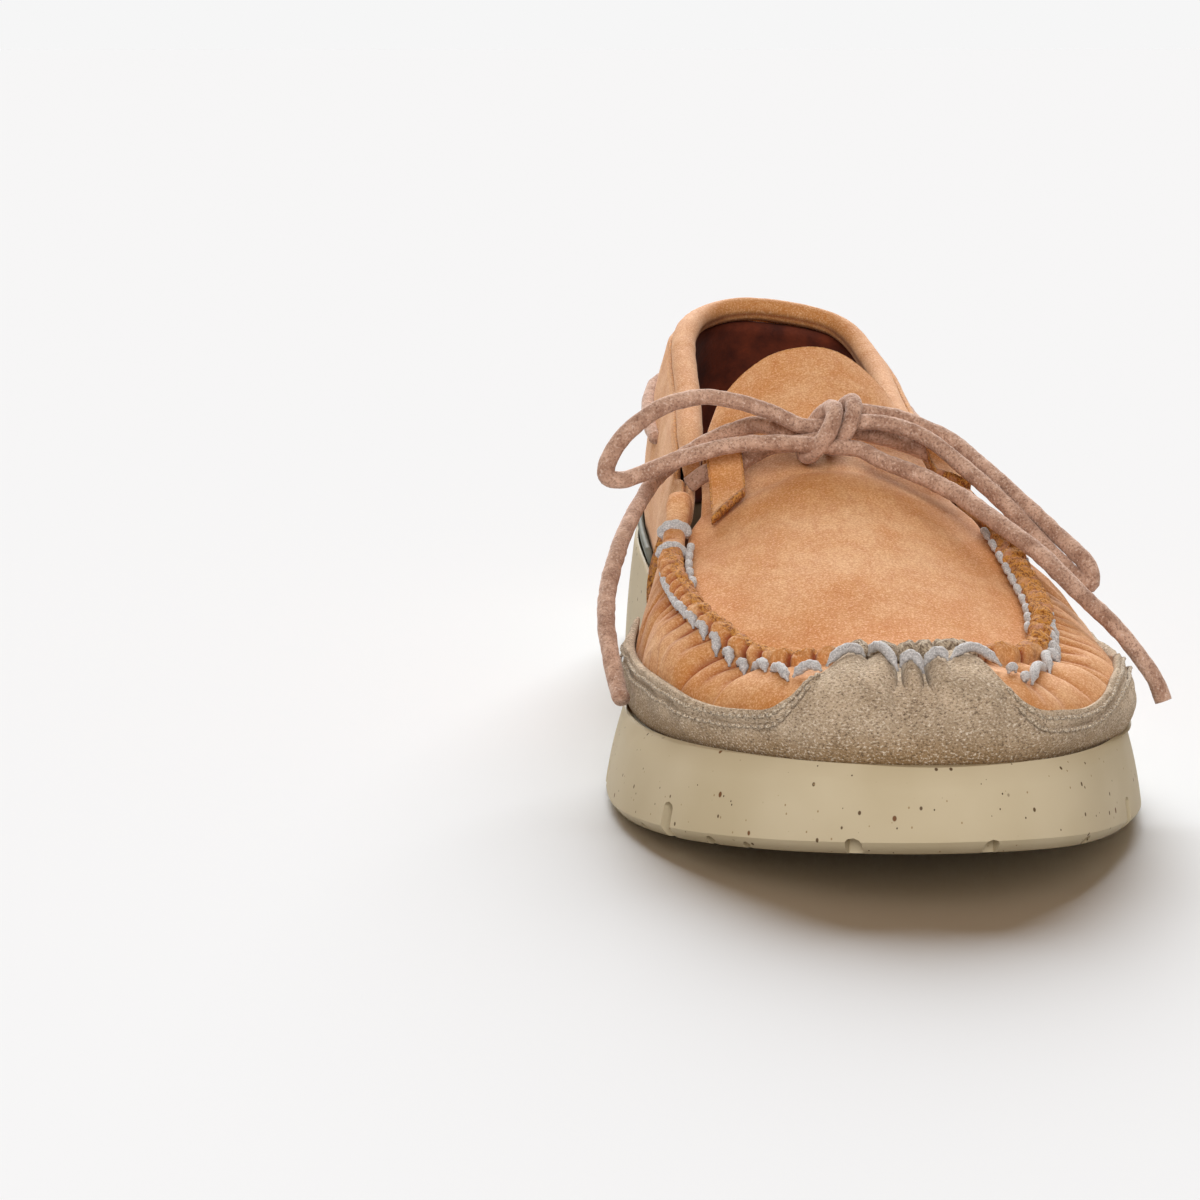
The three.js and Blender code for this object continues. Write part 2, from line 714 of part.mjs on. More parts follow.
const TAIL_INNER = [
  [-9.2, 147, 75], [-18.2, 152.4, 76.8], [-25.3, 155, 75], [-32.6, 154.4, 71.8],
  [-38.8, 152.4, 68.4], [-44.3, 148.4, 64.8], [-48.7, 142, 60.4], [-53.2, 132, 55.2],
  [-56.6, 122, 50], [-59.4, 112, 44.2], [-60.6, 102, 38.7], [-60.4, 92, 32.6], [-59.4, 84, 26.7],
  [-58.8, 80.5, 25],
];
const TAIL_OUTER = [
  [3.4, 136.6, 72.8], [8.4, 132, 70.6], [14.2, 128, 68.6], [19.5, 123.6, 66.6],
  [25.9, 115.4, 63.4], [32, 105, 59.2], [38.8, 94, 54.2], [45.9, 86, 47], [54, 79.4, 39],
  [61, 75.6, 29.6], [63.4, 74, 23.8],
];

function laceLength(points, count) {
  return tube(route(points, count), LACE_RADIUS, 6);
}

function knot() {
  const body = new THREE.SphereGeometry(6, 12, 8);
  body.scale(1, 0.8, 0.56);
  body.translate(KNOT[0], KNOT[1] - LENGTH / 2, KNOT[2]);
  return fromSolid(toSolid(body));
}

// A stretch of the lace that runs round the ankle, laid on the outside of a quarter below the
// collar. Its ends dip to the leather, where it passes through.
const ANKLE_RADIUS = 1.9;
const ANKLE_DROP = 17;
const ANKLE_STRETCH = [1.5, 2.75];

function ankleLace(first, last) {
  const dip = 0.7;
  const line = stations(first, last, 2 * STEPS).map((u, i, all) => {
    const height = linePoint(TOP_LINE, u).z - linePoint(FOOT_LINE, u).z;
    const end = i === 0 || i === all.length - 1;
    const stand = ANKLE_RADIUS + GAP + (end ? 0 : dip);
    return wall(u, 1 - ANKLE_DROP / height, stand);
  });
  return tube(line, ANKLE_RADIUS, 6);
}

// ---- Materials and assembly ----

function material(color, roughness, name) {
  return new THREE.MeshStandardMaterial({ color, roughness, metalness: 0, name });
}

const nubuck = () => material("#d9965f", 0.85, "nubuck leather");
const suede = () => material("#a5917a", 0.95, "suede");
const rubber = () => material("#c8b896", 0.75, "cream rubber");
const lace = () => material("#96786a", 0.85, "leather lace");
const thread = () => material("#a9abb0", 0.8, "waxed thread");
const liningLeather = () => material("#7a3a1e", 0.8, "lining leather");
const board = () => material("#8c7a60", 0.9, "fibre board");
const heelRubber = () => material("#6e7d78", 0.7, "grey rubber");

const pieces = [
  ["cup_sole", cupSole(), rubber()],
  ["insole_board", insoleBoard(), board()],
  ["footbed", footbed(), liningLeather()],
  ["vamp", vamp(), nubuck()],
  ["toe_guard", toeGuard(), suede()],
  ["guard_stitch_inner_upper", guardStitch(GUARD_FROM, 9.75, UPPER_ROW), thread()],
  ["guard_stitch_inner_lower", guardStitch(GUARD_FROM, 9.75, LOWER_ROW), thread()],
  ["guard_stitch_outer_upper", guardStitch(12.25, mirrored(GUARD_FROM), UPPER_ROW), thread()],
  ["guard_stitch_outer_lower", guardStitch(12.25, mirrored(GUARD_FROM), LOWER_ROW), thread()],
  ["quarter_inner", quarter(0.1, QUARTER_FRONT), nubuck()],
  ["quarter_outer", quarter(mirrored(QUARTER_FRONT), 2 * TOE - 0.1), nubuck()],
  ["heel_counter", heelCounter(), board()],
  ["quarter_lining", lining(), liningLeather()],
  ["heel_guard", heelGuard(), heelRubber()],
  ["back_strip", backStrip(), nubuck()],
  ["collar", collar(), nubuck()],
  ["apron", apron(), nubuck()],
  ["tongue_flap", tongueFlap(), nubuck()],
  ["seam_thread", seamThread(), thread()],
  ["wrap_stitch_front", wrapStitch(6.02), thread()],
  ["wrap_stitch_back", wrapStitch(5.78), thread()],
  ["lace_tab_inner", strap(TAB_INNER, 10, -1.4), nubuck()],
  ["lace_tab_outer", strap(TAB_OUTER, 8, 1.4), nubuck()],
  ["lace_run_inner", laceLength(RUN_INNER, 6), lace()],
  ["lace_run_outer", laceLength(RUN_OUTER, 6), lace()],
  ["lace_knot", knot(), lace()],
  ["lace_loop_inner", laceLength(LOOP_INNER, 26), lace()],
  ["lace_loop_outer", laceLength(LOOP_OUTER, 26), lace()],
  ["ankle_lace_inner", ankleLace(...ANKLE_STRETCH), lace()],
  ["ankle_lace_outer", ankleLace(...ANKLE_STRETCH.map(mirrored)), lace()],
  ["lace_tail_inner", laceLength(TAIL_INNER, 16), lace()],
  ["lace_tail_outer", laceLength(TAIL_OUTER, 14), lace()],
];

const moccasin = new THREE.Group();
moccasin.name = "moccasin";
for (const [name, geometry, look] of pieces) {
  geometry.computeVertexNormals();
  const mesh = new THREE.Mesh(geometry, look);
  mesh.name = name;
  moccasin.add(mesh);
}

export default moccasin;
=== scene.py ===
# A laced moccasin for a left foot: its looks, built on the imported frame.
import math

import bpy
import numpy as np
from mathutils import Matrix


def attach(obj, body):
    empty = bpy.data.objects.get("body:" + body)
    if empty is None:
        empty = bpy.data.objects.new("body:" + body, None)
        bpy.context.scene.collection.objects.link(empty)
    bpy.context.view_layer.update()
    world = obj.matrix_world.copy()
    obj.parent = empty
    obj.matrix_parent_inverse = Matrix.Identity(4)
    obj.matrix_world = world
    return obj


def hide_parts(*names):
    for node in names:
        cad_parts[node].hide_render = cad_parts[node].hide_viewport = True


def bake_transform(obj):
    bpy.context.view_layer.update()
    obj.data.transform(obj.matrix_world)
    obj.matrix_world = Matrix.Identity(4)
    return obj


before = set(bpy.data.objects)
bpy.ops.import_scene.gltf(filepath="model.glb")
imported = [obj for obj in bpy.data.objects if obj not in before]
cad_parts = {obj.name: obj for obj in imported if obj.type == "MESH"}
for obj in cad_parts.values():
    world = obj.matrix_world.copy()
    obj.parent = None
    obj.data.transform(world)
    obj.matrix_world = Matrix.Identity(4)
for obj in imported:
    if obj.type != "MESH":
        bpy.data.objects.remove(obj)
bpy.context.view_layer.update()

# Work is in millimetres, as in the part. make_mesh scales the points to metres.
MM = 0.001
LENGTH = 300.0  # the sole, from the toe tip to the heel
LEATHER = 1.8  # thickness of the upper's leather
GUARD_OUTER = 2.25  # outer face of the suede, off the upper's surface
LINING_OUTER = -4.4  # outer face of the lining, off the upper's surface
COLLAR_RADIUS = 3.3
STATIONS = 22
TOE = 11.0  # station of the toe tip

# Stations round the shoe: heel (0), inner side, toe (11), outer side and back to the heel.
# Each row is x, distance from the toe tip, height.
SOLE_EDGE = np.array([
    [0, 300, 0], [-32, 286, 0], [-43.5, 250, 0], [-43.5, 200, 0], [-46.5, 168, 0],
    [-50, 150, 0], [-57, 120, 0], [-61.5, 91, 0], [-60.4, 63, 0], [-50, 35, 0],
    [-29, 11.5, 0], [-1.5, 0, 0], [27.5, 9.5, 0], [47.4, 38.5, 0], [57.2, 68, 0],
    [60, 96, 0], [58, 121, 0], [51.5, 150, 0], [48, 168, 0], [44.5, 200, 0],
    [43, 250, 0], [32, 286, 0],
])
FOOT_LINE = np.array([
    [0, 292, 36], [-27, 280.5, 35.5], [-37, 250, 33.5], [-37.5, 200, 27.5],
    [-41.5, 168, 23.5], [-45.5, 150, 21.8], [-52, 120, 20.2], [-53.6, 95, 20],
    [-50.4, 69, 21.2], [-41.6, 43, 24], [-24.6, 20.5, 26.6], [-1.5, 13, 27.2],
    [21, 17.5, 26.7], [41.4, 42.5, 24.1], [51.2, 69, 21.2], [54, 95, 20],
    [52, 120, 20.2], [45.5, 150, 21.8], [42, 168, 23.5], [38.5, 200, 27.5],
    [37, 250, 33.5], [27, 280.5, 35.5],
])
TOP_LINE = np.array([
    [-1, 287, 96], [-19, 280, 95], [-30, 250, 91.5], [-34, 203, 80], [-37, 168, 70.5],
    [-38.5, 150, 60.5], [-43.5, 120, 52], [-46.5, 95, 48], [-43.5, 70, 43.6],
    [-31.5, 49, 38.6], [-16.5, 40, 40.5], [0, 37, 42], [14.5, 40, 40.5], [29, 51, 38.3],
    [36, 72, 41.8], [36.8, 95, 46.8], [35, 120, 54], [31, 150, 62.5], [28.5, 168, 69],
    [27.5, 203, 75.5], [29, 250, 83.5], [22.5, 279, 91.5],
])
# How far the upper's wall bows out at each station.
SWELL = np.array([8, 5, 5, 6, 4, 2, 1, 3, 6, 7, 5, 4, 6, 8, 6, 4, 4, 6, 6, 5, 5, 5.0])
# How high up the wall it bows out, as a share of the wall's height.
LIFT = np.array([
    0.45, 0.45, 0.35, 0.35, 0.4, 0.5, 0.5, 0.55, 0.75, 0.9, 1, 1.05, 1, 0.9, 0.7,
    0.55, 0.5, 0.5, 0.45, 0.4, 0.45, 0.45,
])
CUP_STEP = 30.0
# Height of the sole's cup floor, at even steps from the toe tip.
CUP_FLOOR = np.array([19.2, 15.4, 12.6, 11.6, 11.6, 12.8, 15, 17.6, 20.5, 22.3, 23])
# How far the sole's wall leans in on its way up at each station.
WALL_LEAN = np.array([
    2.6, 2.6, 2.6, 2.8, 3, 3.2, 3.6, 3.8, 3.8, 3.8, 4, 4.2, 4, 3.8, 3.8, 3.8, 3.6,
    3.2, 3, 2.8, 2.6, 2.6,
])
# The toe curves up off the ground.
SPRING_HEIGHT = 10.8
SPRING_LENGTH = 90.0
SPRING_CURVE = 1.7

# Where the seam thread goes through the leather: station, and share of the wall's way up.
EVEN_HOLES = [(round(station, 2), 1) for station in np.arange(13.85, 15.9, 0.2)]
SEAM_HOLES = np.array([
    (5.95, 1), (6.15, 1), (6.34, 1), (6.53, 1), (6.72, 1), (6.9, 1), (7.08, 1), (7.26, 1),
    (7.45, 1), (7.64, 1), (7.86, 1), (8.08, 0.99), (8.3, 0.97), (8.55, 0.93), (8.79, 0.9),
    (8.98, 0.91), (9.37, 0.82), (9.7, 0.72), (10.02, 0.76), (10.4, 0.92), (10.74, 0.75),
    (10.99, 0.76), (11.24, 0.77), (11.92, 0.8), (12.02, 0.72), (12.14, 0.7), (12.6, 0.83),
    (13.07, 0.93), (13.25, 0.95), (13.43, 0.97), (13.67, 0.98), *EVEN_HOLES,
])
DEEP_PUCKERS = (10.74, 10.99)  # stations of the two deep folds in the suede


# ---- Curves and surfaces ----


def blend4(a, b, c, d, t):
    """Catmull-Rom value between b and c."""
    slope_b = (c - a) / 2
    slope_c = (d - b) / 2
    bend = 3 * (c - b) - 2 * slope_b - slope_c
    twist = 2 * (b - c) + slope_b + slope_c
    return b + t * (slope_b + t * (bend + t * twist))


def loop_value(table, u):
    """Smooth value at station u of a table that goes round the shoe."""
    u = np.asarray(u, float)
    i = np.floor(u).astype(int)
    t = u - i
    if table.ndim == 2:
        t = t[..., None]
    n = len(table)
    return blend4(table[(i - 1) % n], table[i % n], table[(i + 1) % n], table[(i + 2) % n], t)


def open_value(table, u):
    """Smooth value at place u of a table with two ends."""
    table = np.asarray(table, float)
    last = len(table) - 1
    u = np.clip(np.asarray(u, float), 0, last)
    i = np.minimum(np.floor(u).astype(int), last - 1)
    t = u - i
    if table.ndim == 2:
        t = t[..., None]
    before = table[np.maximum(i - 1, 0)]
    after = table[np.minimum(i + 2, last)]
    return blend4(before, table[i], table[i + 1], after, t)


def line_point(table, u):
    """Point at station u of one of the lines round the shoe, in the part's frame."""
    point = loop_value(table, u)
    point[..., 1] -= LENGTH / 2
    return point


def outward(table, u):
    """Level direction out of the shoe, square to a line round it."""
    along = line_point(table, u + 0.02) - line_point(table, u - 0.02)
    along[..., 2] = 0
    along /= np.linalg.norm(along, axis=-1, keepdims=True)
    return np.stack([along[..., 1], -along[..., 0], np.zeros_like(along[..., 0])], -1)


def run_length(line):
    """Distance along a line of points, at each point."""
    return np.r_[0, np.cumsum(np.linalg.norm(np.diff(line, axis=0), axis=1))]


def arch(t):
    """0 at both ends and 1 in the middle."""
    return np.sin(np.pi * t)


def hump(x, middle, spread):
    """1 at the middle, falling off smoothly on both sides."""
    return np.exp(-(((x - middle) / spread) ** 2))


def ease(low, high, value):
    """0 up to low, 1 from high on, and a smooth rise between."""
    t = np.clip((value - low) / (high - low), 0, 1)
    return t * t * (3 - 2 * t)


def skin(u, v):
    """Point of the upper's outer surface, with v 0 at the foot line and 1 at the top line."""
    foot = line_point(FOOT_LINE, u)
    top = line_point(TOP_LINE, u)
    pull = foot + outward(FOOT_LINE, u) * loop_value(SWELL, u)[..., None]
    pull[..., 2] = foot[..., 2] + loop_value(LIFT, u) * (top[..., 2] - foot[..., 2])
    v = v[..., None]
    return foot * (1 - v) ** 2 + pull * 2 * v * (1 - v) + top * v**2


def wall(u, v, offset):
    """Point `offset` millimetres off the upper's outer surface."""
    u, v, offset = np.broadcast_arrays(*(np.asarray(a, float) for a in (u, v, offset)))
    low = np.minimum(v, 0.98)
    rise = skin(u, low + 0.02) - skin(u, low)
    run = skin(u + 0.02, v) - skin(u - 0.02, v)
    away = np.cross(run, rise)
    away /= np.linalg.norm(away, axis=-1, keepdims=True)
    return skin(u, v) + away * offset[..., None]


def wall_height(u):
    return loop_value(TOP_LINE[:, 2], u) - loop_value(FOOT_LINE[:, 2], u)


def share_below(u, drop):
    """Share of the wall's way up that ends `drop` millimetres below the top line."""
    lift = loop_value(LIFT, u)
    left = 1 - drop / wall_height(u)
    return left / (lift + np.sqrt(lift**2 - (2 * lift - 1) * left))


def floor_height(y):
    return open_value(CUP_FLOOR, (y + LENGTH / 2) / CUP_STEP)


def ground_height(y):
    """Height of the tread: 0, and rising towards the toe."""
    ahead = np.maximum(0, SPRING_LENGTH - (y + LENGTH / 2)) / SPRING_LENGTH
    return SPRING_HEIGHT * ahead**SPRING_CURVE


# ---- Noise, the same on every run ----


def lattice(i, j, k):
    """A number from -1 to 1 that depends only on three whole numbers."""
    n = (i * 374761393 + j * 668265263 + k * 1442695041) & 0xFFFFFFFF
    n = ((n ^ (n >> 13)) * 1274126177) & 0xFFFFFFFF
    return ((n ^ (n >> 16)) & 0xFFFF) / 32767.5 - 1


def rough(points, size, seed=0):
    """Smooth noise from -1 to 1 with lumps of about `size` millimetres."""
    p = np.asarray(points, float) / size + seed * 17.3 + 500
    i = np.floor(p).astype(np.int64)
    t = p - i
    t = t * t * (3 - 2 * t)
    total = 0
    for a in (0, 1):
        for b in (0, 1):
            for c in (0, 1):
                weight = 1.0
                for axis, corner in enumerate((a, b, c)):
                    weight = weight * (t[..., axis] if corner else 1 - t[..., axis])
                total = total + weight * lattice(i[..., 0] + a, i[..., 1] + b, i[..., 2] + c)
    return total


def layered(points, size, seed=0):
    """Smooth noise with finer noise on top."""
    total = 0
    for k in range(3):
        total = total + rough(points, size / 2**k, seed + k) / 2**k
    return total


# ---- Seam gathers ----


def gather(u):
    """(share of the way across the stitch at u, its width in stations, its number)."""
    holes = SEAM_HOLES[:, 0]
    i = np.clip(np.searchsorted(holes, u, side="right") - 1, 0, len(holes) - 2)
    width = holes[i + 1] - holes[i]
    return np.clip((u - holes[i]) / width, 0, 1), width, i


def bulge(u):
    """0 at a stitch hole and 1 in the middle of a stitch."""
    share, _, _ = gather(u)
    return np.sin(np.pi * share) ** 0.7


def pinch(u, reach):
    """1 at each stitch hole, falling off over `reach` stations."""
    share, width, _ = gather(u)
    return np.exp(-((np.minimum(share, 1 - share) * width / reach) ** 2))


# ---- Meshes ----


def make_mesh(name, points, faces, look, body="shoe", slot=None, tags=None, smooth=True):
    """A mesh object from points in millimetres, with its body and named point values. The slot is not
    used.
    """
    mesh = bpy.data.meshes.new(name)
    mesh.from_pydata((np.asarray(points) * MM).tolist(), [], faces)
    mesh.validate()
    if smooth:
        mesh.shade_smooth()
    for tag, values in (tags or {}).items():
        mesh.attributes.new(tag, "FLOAT", "POINT").data.foreach_set(
            "value", np.ascontiguousarray(values, np.float32).ravel()
        )
    mesh.materials.append(look)
    obj = bpy.data.objects.new(name, mesh)
    bpy.context.scene.collection.objects.link(obj)
    if body:
        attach(obj, body)
    return obj


def face_out(points, faces):
    """The faces, turned round if they face inwards."""
    p = np.asarray(points)
    q = np.array([f[:3] for f in faces])
    volume = np.einsum("ij,ij->i", p[q[:, 0]], np.cross(p[q[:, 1]], p[q[:, 2]])).sum()
    if volume < 0:
        return [f[::-1] for f in faces]
    return faces


def grid_faces(rows, columns, close_rows=False, close_columns=False):
    """Four-sided faces between neighbouring points of a grid."""
    faces = []
    for r in range(rows if close_rows else rows - 1):
        here = r * columns
        there = ((r + 1) % rows) * columns
        for c in range(columns if close_columns else columns - 1):
            d = (c + 1) % columns
            faces.append((here + c, here + d, there + d, there + c))
    return faces


def end_faces(rows, columns):
    """Zips shut the first and last ring, side to side."""
    faces = []
    for start, flip in ((0, False), ((rows - 1) * columns, True)):
        for k in range(columns // 2 - 1):
            far = columns - 1 - k
            face = (start + k, start + far, start + far - 1, start + k + 1)
            faces.append(face[::-1] if flip else face)
    return faces


def ring_part(rings):
    """Points and faces of a closed solid through rings of points: rings is (count, size, 3)."""
    rows, columns, _ = rings.shape
    points = rings.reshape(-1, 3)
    faces = grid_faces(rows, columns, close_columns=True) + end_faces(rows, columns)
    return points, face_out(points - points.mean(0), faces)


def loft(name, rings, look, **facts):
    """Mesh object of a closed solid through rings of points."""
    points, faces = ring_part(rings)
    return make_mesh(name, points, faces, look, **facts)


def frames_along(line):
    """Two directions square to a line of points, turning as little as possible."""
    along = np.gradient(line, axis=0)
    along /= np.linalg.norm(along, axis=1, keepdims=True)
    side = np.array([0, 0, 1.0]) if abs(along[0, 2]) < 0.9 else np.array([1.0, 0, 0])
    sides = []
    for direction in along:
        side = side - direction * side.dot(direction)
        side = side / np.linalg.norm(side)
        sides.append(side)
    sides = np.array(sides)
    return sides, np.cross(along, sides)


def ring_angles(sides):
    return (np.arange(sides) + 0.5) / sides * 2 * np.pi


def tube_rings(line, radius, sides):
    """Rings round a line. radius may be an array of (points, sides)."""
    side, across = frames_along(line)
    angle = ring_angles(sides)
    reach = np.broadcast_to(radius, (len(line), sides))[..., None]
    spoke = np.cos(angle)[None, :, None] * side[:, None] + np.sin(angle)[None, :, None] * across[:, None]
    return line[:, None] + spoke * reach


def merged(parts):
    """Several (points, faces) joined into one."""
    points, faces, start = [], [], 0
    for p, f in parts:
        points.append(p)
        faces += [tuple(i + start for i in face) for face in f]
        start += len(p)
    return np.concatenate(points), faces


def join(name, parts, look, slot):
    """One mesh object from several (points, faces)."""
    points, faces = merged(parts)
    return make_mesh(name, points, faces, look, slot=slot)


def route(points, step):
    """Evenly spaced points on a smooth line through [x, distance from toe, z] points."""
    fine = open_value(points, np.linspace(0, len(points) - 1, 60 * len(points)))
    fine[:, 1] -= LENGTH / 2
    run = run_length(fine)
    count = max(4, int(run[-1] / step))
    at = np.linspace(0, run[-1], count + 1)
    return np.stack([np.interp(at, run, fine[:, k]) for k in range(3)], 1)


# ---- Materials ----


def linear(code):
    """Linear colour of an sRGB hex code."""
    values = [int(code[k : k + 2], 16) / 255 for k in (1, 3, 5)]
    return [v / 12.92 if v <= 0.04045 else ((v + 0.055) / 1.055) ** 2.4 for v in values] + [1]


class Look:
    """A material and short ways to add its nodes."""

    def __init__(self, name, roughness, sheen=0.0, sheen_tint="#ffffff"):
        self.mat = bpy.data.materials.new(name)
        self.mat.use_nodes = True
        self.nodes = self.mat.node_tree.nodes
        self.links = self.mat.node_tree.links
        self.shader = self.nodes["Principled BSDF"]
        self.shader.inputs["Roughness"].default_value = roughness
        self.shader.inputs["Specular IOR Level"].default_value = 0.3
        if sheen:
            self.shader.inputs["Sheen Weight"].default_value = sheen
            self.shader.inputs["Sheen Roughness"].default_value = 0.5
            self.shader.inputs["Sheen Tint"].default_value = linear(sheen_tint)
        self.place = self.nodes.new("ShaderNodeTexCoord").outputs["Object"]

    def put(self, socket, value):
        if isinstance(value, bpy.types.NodeSocket):
            self.links.new(value, socket)
        else:
            socket.default_value = value

    def node(self, kind, output, inputs, **settings):
        """A new node with its settings and inputs. Returns one of its outputs."""
        node = self.nodes.new("ShaderNode" + kind)
        for key, value in settings.items():
            setattr(node, key, value)
        for key, value in inputs.items():
            self.put(node.inputs[key], value)
        return node.outputs[output]

    def stretched(self, x, y, z):
        return self.node("Mapping", "Vector", {"Vector": self.place, "Scale": (x, y, z)})

    def noise(self, size, detail=3.0, harsh=0.5, place=None, twist=0.0):
        """Noise with lumps of about `size` millimetres."""
        inputs = {"Vector": place or self.place, "Scale": 1 / (size * MM)}
        inputs.update({"Detail": detail, "Roughness": harsh, "Distortion": twist})
        return self.node("TexNoise", "Fac", inputs)

    def cells(self, size, output="Distance", place=None):
        """Cells of about `size` millimetres."""
        return self.node("TexVoronoi", output, {"Vector": place or self.place, "Scale": 1 / (size * MM)})

    def tag(self, name):
        """One of the values that make_mesh stored at the points."""
        return self.node("Attribute", "Fac", {}, attribute_name=name)

    def fit(self, value, low, high, to_low=0.0, to_high=1.0):
        """The value, with low..high mapped to to_low..to_high."""
        inputs = {"Value": value, "From Min": low, "From Max": high}
        inputs.update({"To Min": to_low, "To Max": to_high})
        return self.node("MapRange", "Result", inputs)

    def math(self, kind, a, b):
        return self.node("Math", 0, {0: a, 1: b}, operation=kind)

    def times(self, a, b):
        return self.math("MULTIPLY", a, b)

    def mix(self, share, a, b):
        """Colour a, mixed with colour b by the share. Colours are sockets or hex codes."""
        a, b = (linear(colour) if isinstance(colour, str) else colour for colour in (a, b))
        return self.node("Mix", 2, {0: share, 6: a, 7: b}, data_type="RGBA")

    def bump(self, height, strength, depth, below=None):
        """Bump whose full height is `depth` millimetres."""
        inputs = {"Strength": strength, "Distance": depth * MM, "Height": height}
        if below:
            inputs["Normal"] = below
        return self.node("Bump", "Normal", inputs)

    def finish(self, colour, normal=None, roughness=None):
        self.put(self.shader.inputs["Base Color"], colour)
        if normal:
            self.put(self.shader.inputs["Normal"], normal)
        if roughness:
            self.put(self.shader.inputs["Roughness"], roughness)
        return self.mat


def nubuck(name="nubuck", main="#c6894b", pale="#dbaf80", deep="#b36b30"):
    """Brushed tan leather: brushed patches, pores, painted shade in fine creases and along the apron's
    edge, and orange raw edges.
    """
    look = Look(name, 0.8, 0.2, "#ffe2cc")
    patches = look.fit(look.noise(15, 5, 0.65, twist=0.5), 0.38, 0.66)
    strokes = look.fit(look.noise(3, 5, 0.7, look.stretched(1, 0.4, 1), 0.5), 0.42, 0.7)
    colour = look.mix(look.times(patches, 0.8), main, pale)
    colour = look.mix(look.times(strokes, 0.45), colour, deep)
    # Painted shade: darker orange along the apron's edge by the ridge and at the toe.
    colour = look.mix(look.times(look.tag("worn"), 0.6), colour, "#c9792c")
    grain = look.noise(0.5, 3, 0.75)
    colour = look.mix(look.fit(grain, 0.45, 0.7, 0, 0.55), colour, "#a35a25")
    colour = look.mix(look.fit(grain, 0.48, 0.3, 0, 0.55), colour, "#f3cba6")
    pores = look.cells(0.8)
    colour = look.mix(look.fit(pores, 0.18, 0.0, 0, 0.4), colour, "#8f4b20")
    # Painted shade in the creases of the vamp, ridge and collar.
    colour = look.mix(look.times(look.tag("crease"), 0.9), colour, "#87391a")
    fibres = look.noise(0.8, 3, 0.8)
    raw = look.mix(look.fit(fibres, 0.4, 0.54), "#8f4c0d", "#e3a04a")
    raw = look.mix(look.fit(look.noise(3, 3, 0.6), 0.52, 0.64, 0, 0.7), raw, "#cf9272")
    colour = look.mix(look.tag("raw"), colour, raw)
    suede_tone = look.mix(look.fit(fibres, 0.42, 0.58), "#7d6c59", "#d6c6ae")
    colour = look.mix(look.tag("suede"), colour, suede_tone)
    normal = look.bump(look.noise(2.2, 4, 0.6), 0.35, 0.35)
    normal = look.bump(look.noise(0.45, 3, 0.7), 0.5, 0.1, normal)
    nap = look.times(fibres, look.math("ADD", look.tag("raw"), look.tag("suede")))
    normal = look.bump(nap, 1.0, 1.2, normal)
    return look.finish(colour, normal, look.fit(grain, 0.3, 0.7, 0.7, 0.92))


def suede():
    """Napped taupe suede: pale and dark fibres, olive-brown near the sole that is partly its own colour
    and partly painted shade, and painted shade in the deep folds.
    """
    look = Look("suede", 0.95, 0.3, "#f0e2d0")
    fibre_place = look.stretched(1, 1, 1.6)
    fibres = look.noise(0.62, 2, 0.75, fibre_place)
    worn = look.noise(9, 3, 0.55, twist=0.4)
    colour = look.mix(look.fit(worn, 0.38, 0.64), "#ac987f", "#cab59b")
    # Olive-brown near the sole: partly the suede's own colour, partly painted shade.
    colour = look.mix(look.tag("low"), colour, "#8a6c41")
    colour = look.mix(look.fit(fibres, 0.46, 0.33, 0, 0.85), colour, "#574637")
    colour = look.mix(look.fit(fibres, 0.55, 0.68, 0, 0.8), colour, "#efe3d2")
    # Painted shade in the suede's deep folds.
    colour = look.mix(look.times(look.tag("crease"), 0.9), colour, "#2f241b")
    normal = look.bump(look.noise(1.6, 3, 0.6), 0.5, 0.5)
    normal = look.bump(fibres, 1.0, 0.6, normal)
    return look.finish(colour, normal)


def lace_leather():
    """Rolled lace with a pale nap on a brown-mauve ground."""
    look = Look("lace_leather", 0.95, 0.4, "#f4e0d6")
    fibres = look.noise(0.6, 2, 0.7)
    streaks = look.noise(4, 3, 0.6)
    colour = look.mix(look.fit(streaks, 0.36, 0.66), "#a07c68", "#cdaa95")
    colour = look.mix(look.fit(fibres, 0.47, 0.34, 0, 0.6), colour, "#664739")
    colour = look.mix(look.fit(fibres, 0.57, 0.72, 0, 0.7), colour, "#e4d0c3")
    normal = look.bump(streaks, 0.4, 0.3)
    normal = look.bump(fibres, 0.9, 0.35, normal)
    return look.finish(colour, normal)


def thread(name="thread", main="#b4b3b4", pale="#dddbda", dark="#807f82"):
    """Waxed thread with its fibres showing."""
    look = Look(name, 0.8, 0.3)
    fibres = look.noise(0.35, 3, 0.65)
    colour = look.mix(look.fit(fibres, 0.5, 0.68), main, pale)
    colour = look.mix(look.fit(fibres, 0.46, 0.3), colour, dark)
    return look.finish(colour, look.bump(fibres, 0.7, 0.2))


def rubber():
    """Cream rubber with dark flecks of several sizes."""
    look = Look("sole_rubber", 0.62)
    warp = look.stretched(1, 1, 0.7)
    cloud = look.fit(look.noise(25, 2, 0.5), 0.35, 0.65)
    colour = look.mix(cloud, "#bdb092", "#c6ba9e")
    flecks = (
        (3.4, 0.115, "#5e4a34"), (5.2, 0.1, "#6e4a2c"), (1.9, 0.11, "#9a8462"), (2.4, 0.08, "#4a3a2a"),
    )
    for size, reach, tone in flecks:
        distance = look.cells(size, place=warp)
        chosen = look.fit(look.cells(size, output="Color", place=warp), 0.5, 0.52)
        spot = look.times(look.fit(distance, reach, reach * 0.75), chosen)
        colour = look.mix(spot, colour, tone)
    normal = look.bump(look.noise(1.2, 2, 0.5), 0.25, 0.08)
    return look.finish(colour, normal)


def plain_leather(name, dark, light, roughness=0.75):
    look = Look(name, roughness, 0.15)
    colour = look.mix(look.fit(look.noise(8, 4, 0.6), 0.35, 0.68), dark, light)
    normal = look.bump(look.cells(0.9), 0.4, 0.15)
    return look.finish(colour, normal)


def grey_rubber():
    look = Look("heel_rubber", 0.6)
    colour = look.mix(look.fit(look.noise(4, 3, 0.5), 0.35, 0.65), "#6b6f66", "#7d8077")
    return look.finish(colour, look.bump(look.noise(0.8, 2, 0.5), 0.3, 0.1))


